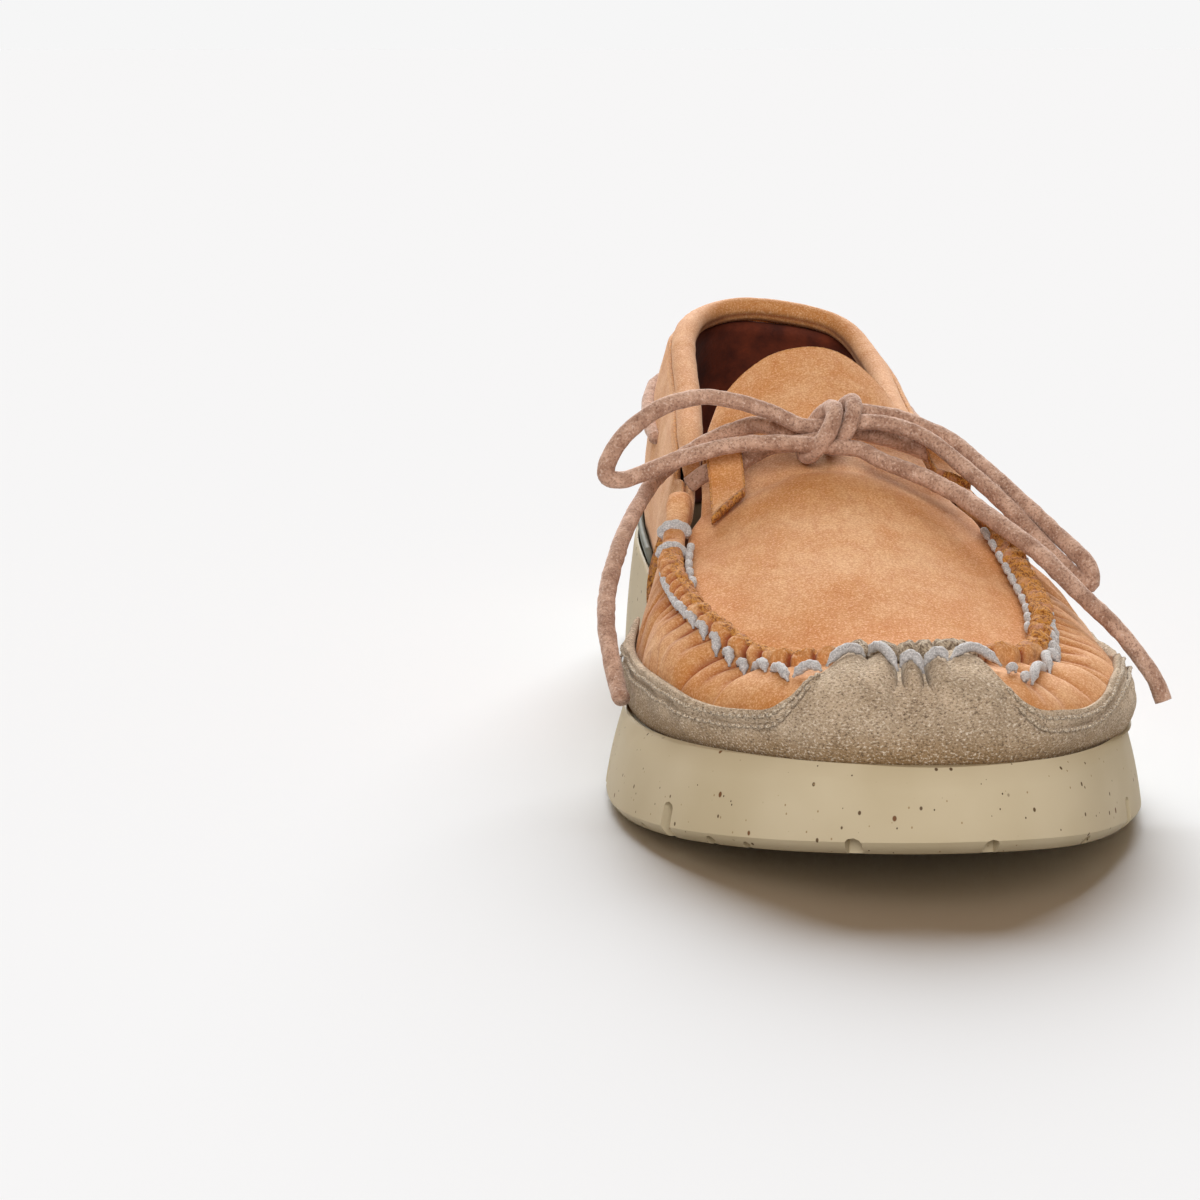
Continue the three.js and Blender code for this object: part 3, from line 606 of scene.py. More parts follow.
NUBUCK = nubuck()
# A darker copy of the nubuck for the collar: painted shade.
NUBUCK_SHADED = nubuck("collar_nubuck_shaded", "#bd8349", "#cf9d6b", "#ab6c34")
SUEDE_LOOK = suede()
LACE = lace_leather()
THREAD = thread()
CREAM_THREAD = thread("cream_thread", "#a3917a", "#efe4cf", "#4e4134")
RUBBER = rubber()
LINING = plain_leather("lining_leather", "#451404", "#6e2c12")
FOOTBED = plain_leather("footbed_leather", "#6e3a20", "#8f5330")
BOARD = plain_leather("board", "#75664c", "#8c7a60", 0.9)
HEEL_RUBBER = grey_rubber()


# ---- Sole ----

SOLE_COLUMNS = 528
RIM_DROP = 0.4  # outer edge of the rim, below the foot line
CUP_GAP = 2.65  # the cup's inner wall, outside the foot line
RIM_GAP = 3.4  # inner edge of the rim's flat, outside the foot line
TREAD_ROUND = 2.6  # height of the rounded edge at the ground
WALL_BOW = 0.35
# Notches in the lower edge round the toe: station, width, height.
TOE_NOTCHES = (
    (6.99, 3.4, 8.16), (7.6, 2.4, 1.7), (8.41, 2.4, 1.87), (8.8, 3.6, 7.82), (9.27, 2.6, 2.04),
    (9.58, 2.2, 1.53), (10.4, 3.6, 3.4), (11.36, 3.2, 2.89), (12.21, 2.6, 2.04), (12.93, 3.4, 7.48),
    (13.4, 2.4, 1.7), (14.3, 3.4, 8.16),
)
TOE_REACH = 4.6  # stations on each side of the toe tip that TOE_NOTCHES covers
NOTCH_STATIONS = 32
NOTCH_WIDTH = 3.4
NOTCH_HEIGHT = 7.82
NOTCH_REACH = 7.0
GROOVES = (62, 78, 94, 110, 126, 142, 216, 232, 248, 264)  # distances from the toe tip
GROOVE_LENGTH = 74.0
GROOVE_WIDTH = 3.2
GROOVE_HEIGHT = 2.6
GROOVE_TURN = 0.12


def sole_ring_table(columns):
    """The sole's cross-section at each station: rows of points from the tread to the cup floor."""
    u = np.linspace(0, STATIONS, columns, endpoint=False)
    edge = line_point(SOLE_EDGE, u)
    away = outward(SOLE_EDGE, u)
    foot = line_point(FOOT_LINE, u)
    foot_away = outward(FOOT_LINE, u)
    lean = loop_value(WALL_LEAN, u)
    rim = foot[..., 2]
    floor = floor_height(foot[..., 1])
    ground = ground_height(edge[..., 1])
    room = ((edge - foot) * away).sum(-1) - lean - RIM_GAP
    bevel = np.clip(0.75 * room, 0.6, 2.4)
    low = ground + TREAD_ROUND
    top = rim - RIM_DROP - 1.1 * bevel

    def row(base, direction, out, height):
        point = base + direction * np.broadcast_to(out, u.shape)[..., None]
        point[..., 2] = height
        return point

    def tread(out):
        point = row(edge, away, out, 0)
        point[..., 2] = ground_height(point[..., 1])
        return point

    rows = [tread(-14), tread(-5), tread(-2.6)]
    rows.append(row(edge, away, -1.9, tread(-2.2)[..., 2] + 0.25))
    rows.append(row(edge, away, -0.4, ground + 1.9))
    rows.append(row(edge, away, -0.02, low))
    for share in np.linspace(0.1, 1, 9):
        out = WALL_BOW * arch(share) - lean * share
        rows.append(row(edge, away, out, low + (top - low) * share))
    rows.append(row(edge, away, -lean - bevel, rim - RIM_DROP))
    rows.append(row(edge, away, -lean - bevel - 0.3, rim - 0.15))
    rows.append(row(foot, foot_away, RIM_GAP, rim - 0.3))
    rows.append(row(foot, foot_away, CUP_GAP + 0.1, rim - 0.7))
    rows.append(row(foot, foot_away, CUP_GAP, (rim + floor) / 2))
    rows.append(row(foot, foot_away, CUP_GAP, floor))
    return np.stack(rows, 1)


def make_sole():
    rings = sole_ring_table(SOLE_COLUMNS)
    columns, rows, _ = rings.shape
    faces = grid_faces(columns, rows, close_rows=True)
    for level, flip in ((0, False), (rows - 1, True)):
        for k in range(columns // 2 - 1):
            corners = (k, k + 1, columns - 2 - k, columns - 1 - k)
            face = tuple(c * rows + level for c in corners)
            faces.append(face[::-1] if flip else face)
    points = rings.reshape(-1, 3)
    sole = make_mesh("sole", points, face_out(points, faces), RUBBER, slot="sole_rubber")
    cut_tread(sole)
    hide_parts("cup_sole")


def box_part(width, depth, height, point, turn):
    """A box with a rounded top that stands as far above the point as below it, turned level."""
    half = depth / 2
    outline = [
        (-half, -height), (half, -height), (half, height - 1.1), (half - 0.5, height - 0.35),
        (0, height), (-half + 0.5, height - 0.35), (-half, height - 1.1),
    ]
    c, s = math.cos(turn), math.sin(turn)
    points = []
    for x in (-width / 2, width / 2):
        points += [(x * c - y * s, x * s + y * c, z) for y, z in outline]
    n = len(outline)
    faces = [tuple(range(n))[::-1], tuple(range(n, 2 * n))]
    faces += [(k, (k + 1) % n, (k + 1) % n + n, k + n) for k in range(n)]
    points = np.array(points) + point
    return points, face_out(points - points.mean(0), faces)


def notches():
    """The notches round the toe, and even ones round the rest of the sole."""
    even = []
    for i in range(NOTCH_STATIONS):
        u = (i + 0.5) / NOTCH_STATIONS * STATIONS
        if abs(u - TOE) > TOE_REACH:
            even.append((u, NOTCH_WIDTH, NOTCH_HEIGHT))
    return even + list(TOE_NOTCHES)


def tread_cutters():
    """Boxes for the notches in the sole's lower edge and the grooves across its tread."""
    parts = []
    for u, width, height in notches():
        edge = line_point(SOLE_EDGE, np.array(u))
        away = outward(SOLE_EDGE, np.array(u))
        edge[2] = ground_height(edge[1])
        parts.append(box_part(NOTCH_REACH, width, height, edge, math.atan2(away[1], away[0])))
    for i, place in enumerate(GROOVES):
        y = place - LENGTH / 2
        turn = GROOVE_TURN if i % 2 else -GROOVE_TURN
        middle = np.array([0, y, ground_height(y)])
        parts.append(box_part(GROOVE_LENGTH, GROOVE_WIDTH, GROOVE_HEIGHT, middle, turn))
    return parts


def cut_tread(sole):
    points, faces = merged(tread_cutters())
    cutter = make_mesh("cutter", points, faces, RUBBER, body=None, smooth=False)
    cut = sole.modifiers.new("tread", "BOOLEAN")
    cut.operation = "DIFFERENCE"
    cut.solver = "EXACT"
    cut.object = cutter
    graph = bpy.context.evaluated_depsgraph_get()
    mesh = bpy.data.meshes.new_from_object(sole.evaluated_get(graph), depsgraph=graph)
    sole.modifiers.clear()
    sole.data = mesh
    mesh.shade_smooth()
    mesh.set_sharp_from_angle(angle=math.radians(32))
    bpy.data.objects.remove(cutter)


# ---- Upper ----


EDGE_ROUND = 0.35  # how far a leather edge is rounded up between its two faces


def strip_rings(u, shares, outer, inner, inner_rows=6):
    """Cross-sections of a leather strip. shares is (stations, rows), from the lower edge up."""
    columns = u[:, None]
    face = wall(columns, shares, outer)
    pick = np.linspace(0, shares.shape[1] - 1, inner_rows).round().astype(int)
    inner = np.broadcast_to(inner, shares.shape)
    back = wall(columns, shares[:, pick], inner[:, pick])
    top = (face[:, -1] + back[:, -1]) / 2 + np.array([0, 0, EDGE_ROUND])
    rings = np.concatenate([face, top[:, None], back[:, ::-1]], 1)
    if rings.shape[1] % 2:
        rings = np.concatenate([rings, (rings[:, -1:] + rings[:, :1]) / 2], 1)
    return rings


def ring_tags(rings, face_columns, values):
    """Values on the outer face, spread to whole rings with 0 elsewhere."""
    tags = np.zeros(rings.shape[:2])
    tags[:, :face_columns] = values
    return tags


def seam_share(u):
    """Share of the wall's way up at which the seam's stitch holes lie."""
    return np.interp(u, SEAM_HOLES[:, 0], SEAM_HOLES[:, 1])


DEEP_CREASES = (7.3, 8.6, 9.06, 12.3, 12.66, 13.1)  # stations of the vamp's longest creases
GATHERED = (5.75, 6.1, 15.6, 16.1)  # stations where the gathers set in and die away


def hole_creases(u, v):
    """Depth of the creases that run down from the stitch holes, and how much painted shade darkens them.
    """
    share, width, number = gather(u)
    depth = 0
    dark = 0
    for away, hole in ((share * width, number), ((1 - share) * width, number + 1)):
        luck = 0.5 + 0.5 * lattice(hole, hole * 3, 7)
        fade = ease(0.78 - 0.5 * luck**3, 0.97, v)
        spread = 0.05 + 0.08 * (1 - v)
        depth = depth + (0.9 + 1.2 * luck) * fade * np.exp(-away / spread)
        dark = dark + fade * np.exp(-away / (0.4 * spread))
    return depth, dark


def folds(u, v):
    """Depth of all the vamp's creases, and how much painted shade darkens them."""
    depth, dark = hole_creases(u, v)
    fade = ease(0.15, 0.85, v)
    for station in DEEP_CREASES:
        away = np.abs(u - station - 0.04 * (1 - v) * (u - TOE))
        depth = depth + 1.8 * fade * np.exp(-away / (0.04 + 0.05 * (1 - v)))
        dark = dark + 0.8 * fade * np.exp(-away / 0.018)
    return depth, np.clip(dark, 0, 1)


def pleats(u, v):
    """How far the gathered leather of the vamp stands out, and how much painted shade darkens its
    creases.
    """
    first, full, last, gone = GATHERED
    inside = ease(first, full, u) * (1 - ease(last, gone, u))
    depth, dark = folds(u, v)
    flow = np.stack([u * 22, v * 9, 0 * u], -1)  # about millimetres along and up the wall
    flow[..., 0] += 9 * rough(flow, 8, 3)
    ridged = 1 - np.abs(rough(flow, 12, 5))
    fine = 1 - np.abs(rough(flow * [1, 0.6, 1], 2.6, 8))
    patchy = ease(0.1, 0.7, rough(flow, 13, 12))
    middle = ease(0.1, 0.45, v)
    uneven = (1.1 * ridged**2 + 0.2 * fine**2 * patchy - 0.6) * middle * (0.3 + 0.7 * inside)
    swell = 1.1 * ease(0.3, 0.9, v)
    # Painted shade along thin crease lines.
    lines = np.clip(fine**12 * 1.4, 0, 1) * middle * patchy
    return (swell - depth) * inside + uneven, np.clip((dark + 0.4 * lines) * inside, 0, 1)


def make_vamp():
    u = np.linspace(4.72, 17.28, 900)
    v = np.linspace(0, 1, 56)
    shares = np.broadcast_to(v, (len(u), len(v)))
    columns = np.broadcast_to(u[:, None], shares.shape)
    under_quarter = -2.2 * ease(5.25, 5.65, np.abs(u - TOE))[:, None]
    flat = wall(columns, shares, under_quarter)
    stand, crease = pleats(columns, shares)
    under_guard = ease(10.1, 10.5, columns) * (1 - ease(11.25, 11.6, columns))
    free = ease(0, 0.12, shares)
    stand = (stand + 0.45 * layered(flat, 14, 5) - 3.5 * under_guard) * free
    rings = strip_rings(u, shares, under_quarter + stand, under_quarter - LEATHER)
    # Painted shade in the vamp's creases.
    tags = {"crease": ring_tags(rings, len(v), crease)}
    vamp = loft("vamp_leather", rings, NUBUCK, slot="nubuck", tags=tags)
    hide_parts("vamp")


GUARD_TOP = 0.95  # height of the guard over the toe, as a share of the wall's way up
GUARD_END = 5.5  # stations from the toe tip to each end of the guard


def guard_peak(u):
    """1 where the guard climbs over the toe and 0 beside it, with an S-shaped edge between."""
    return ease(9.35, 10.2, u) ** 4 * ease(12.3, 11.45, u) ** 4


def guard_side(u):
    """Height of the guard's stitched edge beside the toe, as a share of the wall's way up."""
    inner = 0.36 + 0.06 * ease(9.3, 8.3, u)
    outer = 0.34 + 0.22 * ease(12.35, 13.3, u) - 0.17 * ease(13.7, 15, u)
    return np.where(u < TOE, inner, outer)


def guard_share(u):
    """Height of the guard's upper edge, as a share of the wall's way up."""
    side = guard_side(u)
    return side + (GUARD_TOP - side) * guard_peak(u)


def puckers(u, v):
    """Depth of the suede's two deep folds, and how much painted shade darkens them."""
    depth = 0
    dark = 0
    for station in DEEP_PUCKERS:
        slit = np.exp(-np.abs(u - station) / 0.04) * ease(0.3, 0.6, v)
        depth = depth + 1.9 * slit + 1.7 * hump(u, station, 0.1) * ease(0.02, 0.6, v)
        dark = dark + hump(u, station, 0.035) * ease(0.36, 0.46, v)
    return depth, np.clip(dark, 0, 1)


def guard_stand(u, v):
    """How far the suede stands out from its even face."""
    depth, _ = puckers(u, v)
    free = ease(0, 0.2, v)
    lobes = 1.8 * (bulge(u) - 0.6) * ease(0.4, 0.9, v)
    waves = 1.05 * layered(wall(u, v, GUARD_OUTER), 11, 21)
    valley = 1.7 * hump(u, 10.86, 0.28) * ease(0.75, 0.35, v)
    return guard_peak(u) * (0.6 + lobes - depth) + (waves - valley) * free


def make_guard():
    u = np.linspace(TOE - GUARD_END, TOE + GUARD_END, 1100)
    rows = np.linspace(0, 1, 52)
    taper = ease(0, 0.35, GUARD_END - np.abs(u - TOE))
    shares = (guard_share(u) * (0.35 + 0.65 * taper))[:, None] * rows
    columns = np.broadcast_to(u[:, None], shares.shape)
    peak = guard_peak(u)[:, None]
    _, dark = puckers(columns, shares)
    from_edge = (1 - rows) * shares[:, -1:] * 26  # about millimetres below the upper edge
    edge_roll = 0.45 * hump(from_edge, 0, 1.6) - 0.4 * hump(from_edge, 3.1, 0.7)
    stand = guard_stand(columns, shares) + edge_roll * (1 - peak)
    rings = strip_rings(u, shares, GUARD_OUTER + stand, 0.5)
    # Painted shade in the suede's deep folds; darker near the sole, partly the suede's own olive-brown
    # and partly painted shade.
    tags = {
        "crease": ring_tags(rings, len(rows), dark * peak),
        "low": ring_tags(rings, len(rows), 0.85 * (1 - ease(0, 0.3, shares))),
    }
    guard = loft("suede_guard", rings, SUEDE_LOOK, slot="suede", tags=tags)
    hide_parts("toe_guard")


def stitch_part(a, b, out, radius):
    """A short thread from a to b that bows out in the middle."""
    t = np.linspace(0, 1, 7)[:, None]
    line = a * (1 - t) + b * t + out * (0.25 * arch(t))
    swell = radius * (0.45 + 0.55 * arch(np.clip(t, 0.04, 0.96)) ** 0.5)
    return ring_part(tube_rings(line, swell, 6))


STITCH_PITCH = 2.1
STITCH_RADIUS = 0.45
GUARD_ROWS = (0.05, 0.13)  # how far the rows of stitches lie below the edge, in wall shares


def guard_row(first, last, drop):
    """A row of small machine stitches under the guard's upper edge."""
    fine = np.linspace(first, last, 1200)
    share = guard_share(fine) - drop
    line = wall(fine, share, GUARD_OUTER + guard_stand(fine, share) + 0.3)
    away = wall(fine, share, GUARD_OUTER + 1) - wall(fine, share, GUARD_OUTER)
    run = run_length(line)
    parts = []
    for start in np.arange(0, run[-1] - STITCH_PITCH, STITCH_PITCH):
        i, j = np.searchsorted(run, [start, start + STITCH_PITCH * 0.8])
        parts.append(stitch_part(line[i], line[j], away[i], STITCH_RADIUS))
    return parts


def make_guard_stitches():
    upper, lower = GUARD_ROWS
    inner = guard_row(5.9, 10.05, upper) + guard_row(5.9, 10.0, lower)
    outer = guard_row(11.7, 16.1, upper) + guard_row(11.75, 16.1, lower)
    rows = join("guard_stitching", inner + outer, CREAM_THREAD, "thread")
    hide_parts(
        "guard_stitch_inner_upper", "guard_stitch_inner_lower",
        "guard_stitch_outer_upper", "guard_stitch_outer_lower",
    )


def make_quarter(name, first, last, node):
    u = np.linspace(first, last, 300)
    front = TOE - np.abs(TOE - u)
    under_collar = share_below(u, COLLAR_RADIUS + 1.4)
    high = under_collar + (0.97 - under_collar) * ease(4.3, 4.7, front)
    v = np.linspace(0, 1, 30)
    shares = high[:, None] * v
    flat = wall(u[:, None], shares, 0)
    stand = 0.5 * layered(flat, 22, 31) + 0.12 * layered(flat, 5, 33)
    flare = 1.6 * ease(4.75, 5.2, front)[:, None] ** 2 * ease(0.15, 0.6, v)
    rings = strip_rings(u, shares, stand * ease(0, 0.1, v) + flare, -LEATHER + flare)
    edge = ease(5.175, 5.195, front)
    raw = np.broadcast_to(edge[:, None], rings.shape[:2]).copy()
    raw[:, len(v)] = 0.6
    piece = loft(name, rings, NUBUCK, slot="nubuck", tags={"raw": raw})
    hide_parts(node)


HEEL_GUARD_SHARE = 0.2  # height of the heel guard, as a share of the wall's way up
HEEL_GUARD_END = 2.6
BACK_STRIP_HALF = 0.26


def make_heel_guard():
    u = np.linspace(-HEEL_GUARD_END, HEEL_GUARD_END, 160)
    taper = ease(HEEL_GUARD_END / 2, HEEL_GUARD_END, np.abs(u))
    shares = (HEEL_GUARD_SHARE * (1 - 0.5 * taper))[:, None] * np.linspace(0, 1, 10)
    rings = strip_rings(u, shares, GUARD_OUTER, 0.5)
    piece = loft("heel_rand", rings, HEEL_RUBBER, slot="heel_rubber")
    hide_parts("heel_guard")


def make_back_strip():
    u = np.linspace(-BACK_STRIP_HALF, BACK_STRIP_HALF, 30)
    low = 0.24
    high = share_below(u, COLLAR_RADIUS + 2.2)[:, None]
    crown = 0.5 * (1 - (u[:, None] / BACK_STRIP_HALF) ** 4)
    rings = strip_rings(u, low + (high - low) * np.linspace(0, 1, 30), 1.1 + crown, 0.4)
    piece = loft("back_seam_strip", rings, NUBUCK, slot="nubuck")
    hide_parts("back_strip")


def make_back_stitches():
    parts = []
    for side in (-0.2, 0.2):
        for v in np.linspace(0.27, 0.82, 20):
            a = wall(side, v, 1.5)
            b = wall(side, v + 0.022, 1.5)
            parts.append(stitch_part(a, b, np.array([0, 1.0, 0]), 0.4))
    join("back_strip_stitching", parts, CREAM_THREAD, "thread")


def make_collar():
    """The padded roll round the opening, thinner at its two ends, with a seam on the inside."""
    u = np.linspace(-4.45, 4.45, 420)
    line = line_point(TOP_LINE, u)
    line[:, 2] -= COLLAR_RADIUS
    line += outward(TOP_LINE, u) * -3.0
    t = np.linspace(0, 1, len(u))
    radius = COLLAR_RADIUS * (0.6 + 0.4 * np.minimum(1, 12 * np.minimum(t, 1 - t)))
    puckered = 1 + 0.035 * rough(line, 6, 41) + 0.02 * rough(line, 2.5, 43)
    sides = 28
    rings = tube_rings(line, (radius * puckered)[:, None], sides)
    seam = hump(ring_angles(sides), 4.6, 0.16)[None, :]
    rings += (line[:, None] - rings) * 0.14 * seam[..., None]
    # Painted shade along the seam's groove.
    crease = np.broadcast_to(seam * 0.6, rings.shape[:2])
    piece = loft("padded_collar", rings, NUBUCK_SHADED, slot="nubuck", tags={"crease": crease})
    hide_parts("collar")


def make_lining():
    u = np.linspace(-5, 5, 260)
    shares = share_below(u, COLLAR_RADIUS + 2.4)[:, None] * np.linspace(0, 1, 16)
    flat = wall(u[:, None], shares, LINING_OUTER)
    inner = LINING_OUTER - 1.1 - 0.3 * layered(flat, 14, 51)
    rings = strip_rings(u, shares, LINING_OUTER, inner, inner_rows=16)
    piece = loft("inner_lining", rings, LINING, slot="lining_leather")
    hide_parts("quarter_lining")


# ---- Ridge and seam ----


def seam_frame(u):
    """Point of the top line at station u, and the level direction out of the shoe."""
    return line_point(TOP_LINE, u), outward(TOP_LINE, u)


RIDGE_SIDES = 40
RIDGE_SQUARENESS = 0.8
CREST_START = (6.2, 6.6)  # stations where the ridge's cut edge comes out of its rolled end


def rolled(angle):
    """A circle's cosine, fuller at the corners."""
    return np.sign(np.cos(angle)) * np.abs(np.cos(angle)) ** RIDGE_SQUARENESS


def ridge_rings(u, across, up, dip, outer):
    """Cross-sections of the ridge. across and up run round a section, dip along the ridge."""
    point, out = seam_frame(u)
    share, width, _ = gather(u)
    puff = arch(share) ** 0.7
    raised = ease(5.9, 6.5, u)
    bulb = 0.8 * hump(u, 5.45, 0.2)
    ends = np.minimum(ease(5.15, 5.4, u), 1 - ease(16.05, 16.2, u))
    stand = 1.6 - 1.2 * ease(7.6, 6.4, u)
    centre = point - out * stand[:, None]
    centre[:, 2] += 1.8 - 1.6 * (1 - seam_share(u)) + bulb
    wide = (2.6 + (0.6 * puff - 0.3) * raised + 0.6 * bulb) * (0.3 + 0.7 * ends)
    stretch = np.clip(width / 0.3, 0.7, 1.6)
    tall = (2.5 + 0.8 * (puff * stretch - 0.4) * raised + 0.8 * bulb) * (0.3 + 0.7 * ends)
    reach = across * wide[:, None] * (1 - 0.42 * dip * outer)
    rings = centre[:, None] + out[:, None] * reach[..., None]
    rings[..., 2] += up * tall[:, None] * (1 - 0.32 * dip * outer)
    ragged = (0.25 + 0.75 * ease(*CREST_START, u))[:, None]
    rings[..., 2] += 0.6 * layered(rings, 2.2, 61) * ease(-0.2, 0.5, up)[None, :] * ragged
    rings += out[:, None] * (0.42 * layered(rings, 2.4, 63) * ragged)[..., None]
    return rings


def ridge_rawness(u, across, up, rings):
    """1 where the ridge shows its cut edge: on top and inwards, and past station 13 outwards too."""
    spread = 0.75 * ease(12.6, 13.4, u)[:, None]
    bare = ease(0.55 + spread, 0.1 + spread, across[None, :]) * ease(-0.5, 0.1, up)[None, :]
    bare = bare * ease(6.2, 6.45, u)[:, None]
    return np.clip(bare * (1 + 0.5 * rough(rings, 2.2, 65)), 0, 1)


def make_ridge():
    """The puckered ridge round the apron, which is suede over the toe."""
    u = np.linspace(5.2, 16.2, 1350)
    angle = ring_angles(RIDGE_SIDES)
    across = rolled(angle)
    up = rolled(angle - math.pi / 2)
    outer = ease(-0.9, 0.3, across)[None, :]
    dip = (pinch(u, 0.035) * ease(5.9, 6.5, u))[:, None]
    rings = ridge_rings(u, across, up, dip, outer)
    suede_part = (ease(9.9, 10.0, u) * (1 - ease(11.85, 12.0, u)))[:, None]
    tags = {
        "raw": ridge_rawness(u, across, up, rings) * (1 - suede_part),
        "suede": np.broadcast_to(suede_part, rings.shape[:2]),
        # Painted shade in the pinches at the stitch holes, on the outer side.
        "crease": np.clip(1.2 * dip * outer, 0, 1),
    }
    loft("gathered_ridge", rings, NUBUCK, slot="nubuck", tags=tags)


def thread_part(line, radius, plies=3, twist=5.0, sides=20, plump=2.6):
    """Plied thread along a line, with tapered ends. Returns points and faces."""
    turn = run_length(line)[:, None] / twist * 2 * np.pi
    lobes = 0.86 + 0.2 * np.abs(np.cos((ring_angles(sides)[None, :] * plies - turn * plies) / 2))
    t = np.linspace(0, 1, len(line))[:, None]
    taper = np.clip(arch(np.clip(t, 0.03, 0.97)) * plump, 0.3, 1)
    return ring_part(tube_rings(line, radius * lobes * taper, sides))


def face_stand(u, v):
    """How far out the leather or suede under the seam thread stands."""
    suede = ease(0.01, 0.2, guard_peak(u))
    depth, _ = pleats(u, v)
    return np.maximum(depth, (GUARD_OUTER + guard_stand(u, v)) * suede + depth * (1 - suede))


def wall_stitch(start, end):
    """One stitch on the face of the wall, between two holes of SEAM_HOLES."""
    (a, low_a), (b, low_b) = start, end
    t = np.linspace(0.04, 0.96, 24)
    curve = arch(t)
    wide = min(1.0, (b - a) / 0.6)
    u = a + (b - a) * t
    slant = 0.05 * (1 - wide) * (1 if a > TOE else -1) * (2 * t - 1)
    v = np.minimum(low_a + (low_b - low_a) * t + 0.07 * wide * curve + slant, 1)
    size = 0.9 + 0.15 * min(1, 2 * wide)
    ends = np.interp(t, [0, 1], face_stand(u[[0, -1]], v[[0, -1]]))
    middle = face_stand(u[12:13], v[12:13])[0]
    rise = 0.9 * max(middle - ends.mean(), 0.2) + 0.4
    bow = np.maximum(ends, ends.mean() - 0.6) + rise * curve**0.5
    line = wall(u, v, bow + size * (1.3 * curve**0.5 - 0.5))
    line[:, 2] += (0.1 + 0.5 * wide) * curve
    return thread_part(line, size, plump=2.0)


EDGE_PITCH = 0.24  # stations between the stitches at the apron's edge


def edge_stitch(station):
    """One stitch at the foot of the ridge, on the apron's side."""
    t = np.linspace(0.03, 0.97, 14)
    point, out = seam_frame(station + 0.235 * t)
    line = point + out * (-4.1 - 0.6 * arch(t))[:, None]
    line[:, 2] += 1.2 + 1.4 * arch(t)
    return thread_part(line, 0.9, 2, 3.0, 12, 1.5)


def make_seam_thread():
    parts = [wall_stitch(a, b) for a, b in zip(SEAM_HOLES[:-1], SEAM_HOLES[1:])]
    for first, last in ((6.1, 7.2), (13.6, 15.9)):
        parts += [edge_stitch(station) for station in np.arange(first, last, EDGE_PITCH)]
    piece = join("seam_stitches", parts, THREAD, "thread")
    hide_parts("seam_thread")


def make_wraps():
    """Two thick turns of thread over the ridge, at the inner end of the seam."""
    for name, station, size, node in (
        ("wrap_front", 6.36, 1.05, "wrap_stitch_front"),
        ("wrap_back", 5.88, 1.5, "wrap_stitch_back"),
    ):
        angle = np.linspace(-0.35, math.pi + 0.25, 40)
        point, out = seam_frame(station + 0.03 * np.sin(angle))
        line = point - out * 0.4 + out * (np.cos(angle) * 2.9)[:, None]
        line[:, 2] += 1.7 + 2.7 * np.sin(angle)
        piece = join(name, [thread_part(line, size, twist=6.0)], THREAD, "thread")
        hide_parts(node)


# ---- Apron and tongue ----

# Height of the apron's crown over its edges, at each station from the toe tip.
APRON_CROWN = np.array([0.6, 2.2, 4, 6, 8.2, 9.6, 10.2])
# Rows up the tongue: distance from the toe tip, left x and z, right x and z, crown, bow back.
TONGUE = np.array([
    [147, -33.4, 60.0, 24.4, 62, 10.2, 0], [157, -32.4, 64.8, 23.4, 66.2, 11.4, 1],
    [168, -30.2, 71.6, 21.8, 71.6, 12.4, 3], [177, -26.6, 78.2, 20, 76.6, 12.6, 7],
])


def apron_rows():
    """(left, right, crown, bow) for rows of the apron from the toe, and on up the tongue."""
    rows = []
    for reach in np.r_[np.linspace(0.04, 1.0, 30), np.linspace(1.03, 5.6, 150)]:
        margin = 3.6 + 2.2 * ease(5.25, 5.65, reach)
        ends = []
        for u in (TOE - reach, TOE + reach):
            point, out = seam_frame(np.array(u))
            ends.append(point - out * margin)
        rows.append((ends[0], ends[1], float(open_value(APRON_CROWN, reach)), 0.0))
    for k in np.linspace(0.12, 3, 60):
        s, xl, zl, xr, zr, crown, bow = open_value(TONGUE, k)
        y = s - LENGTH / 2
        rows.append((np.array([xl, y, zl]), np.array([xr, y, zr]), crown, bow))
    return rows


APRON_COLUMNS = 110


def apron_face(drop):
    """Rows of points over the apron and tongue, lowered by `drop` millimetres."""
    t = np.linspace(0, 1, APRON_COLUMNS)
    face = []
    for left, right, crown, bow in apron_rows():
        line = left + (right - left) * t[:, None]
        flat = min(1.0, bow / 3)
        line[:, 2] += crown * arch(t ** (1 + 0.12 * flat)) ** (1.1 - 0.35 * flat) - drop
        share = 1 - np.abs(2 * t - 1) ** (2 + flat)
        line[:, 1] += bow * share
        line[:, 2] += 0.4 * bow * share
        face.append(line)
    return np.array(face)


def painted_edge_shade(face):
    """How much painted shade darkens the brushed leather: along the apron's edge by the ridge and at the
    toe.
    """
    from_middle = np.abs(2 * np.linspace(0, 1, APRON_COLUMNS) - 1)
    worn = np.maximum(ease(0.6, 1, from_middle), ease(-55, -100, face[..., 1]))
    worn = worn * (0.6 + 0.4 * rough(face, 9, 75)) * ease(0, -30, face[..., 1])
    return np.clip(worn, 0, 1)


def make_apron():
    even = apron_face(0)
    face = even.copy()
    face[..., 2] += 0.5 * layered(face, 26, 71) + 0.1 * layered(face, 6, 73)
    aside = np.abs(face[..., 0] + 3)
    face[..., 2] -= 1.1 * hump(face[..., 1], -10, 4.5) * ease(40, 0, aside)
    face[..., 2] += 0.7 * hump(face[..., 1], -22, 7) * ease(34, 4, aside)
    back = apron_face(LEATHER)
    back[..., 2] += face[..., 2] - even[..., 2]
    rings = np.concatenate([face, back[:, ::-1]], 1)
    raw = np.zeros(rings.shape[:2])
    raw[-1] = 0.5
    # Painted shade along the apron's edge by the ridge and at the toe.
    tags = {"raw": raw, "worn": ring_tags(rings, APRON_COLUMNS, painted_edge_shade(face))}
    piece = loft("apron_tongue", rings, NUBUCK, body=None, slot="nubuck", tags=tags)
    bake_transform(piece)
    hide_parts("apron", "tongue_flap")


# ---- Lace and keepers ----

LACE_DIAMETER = 4.15
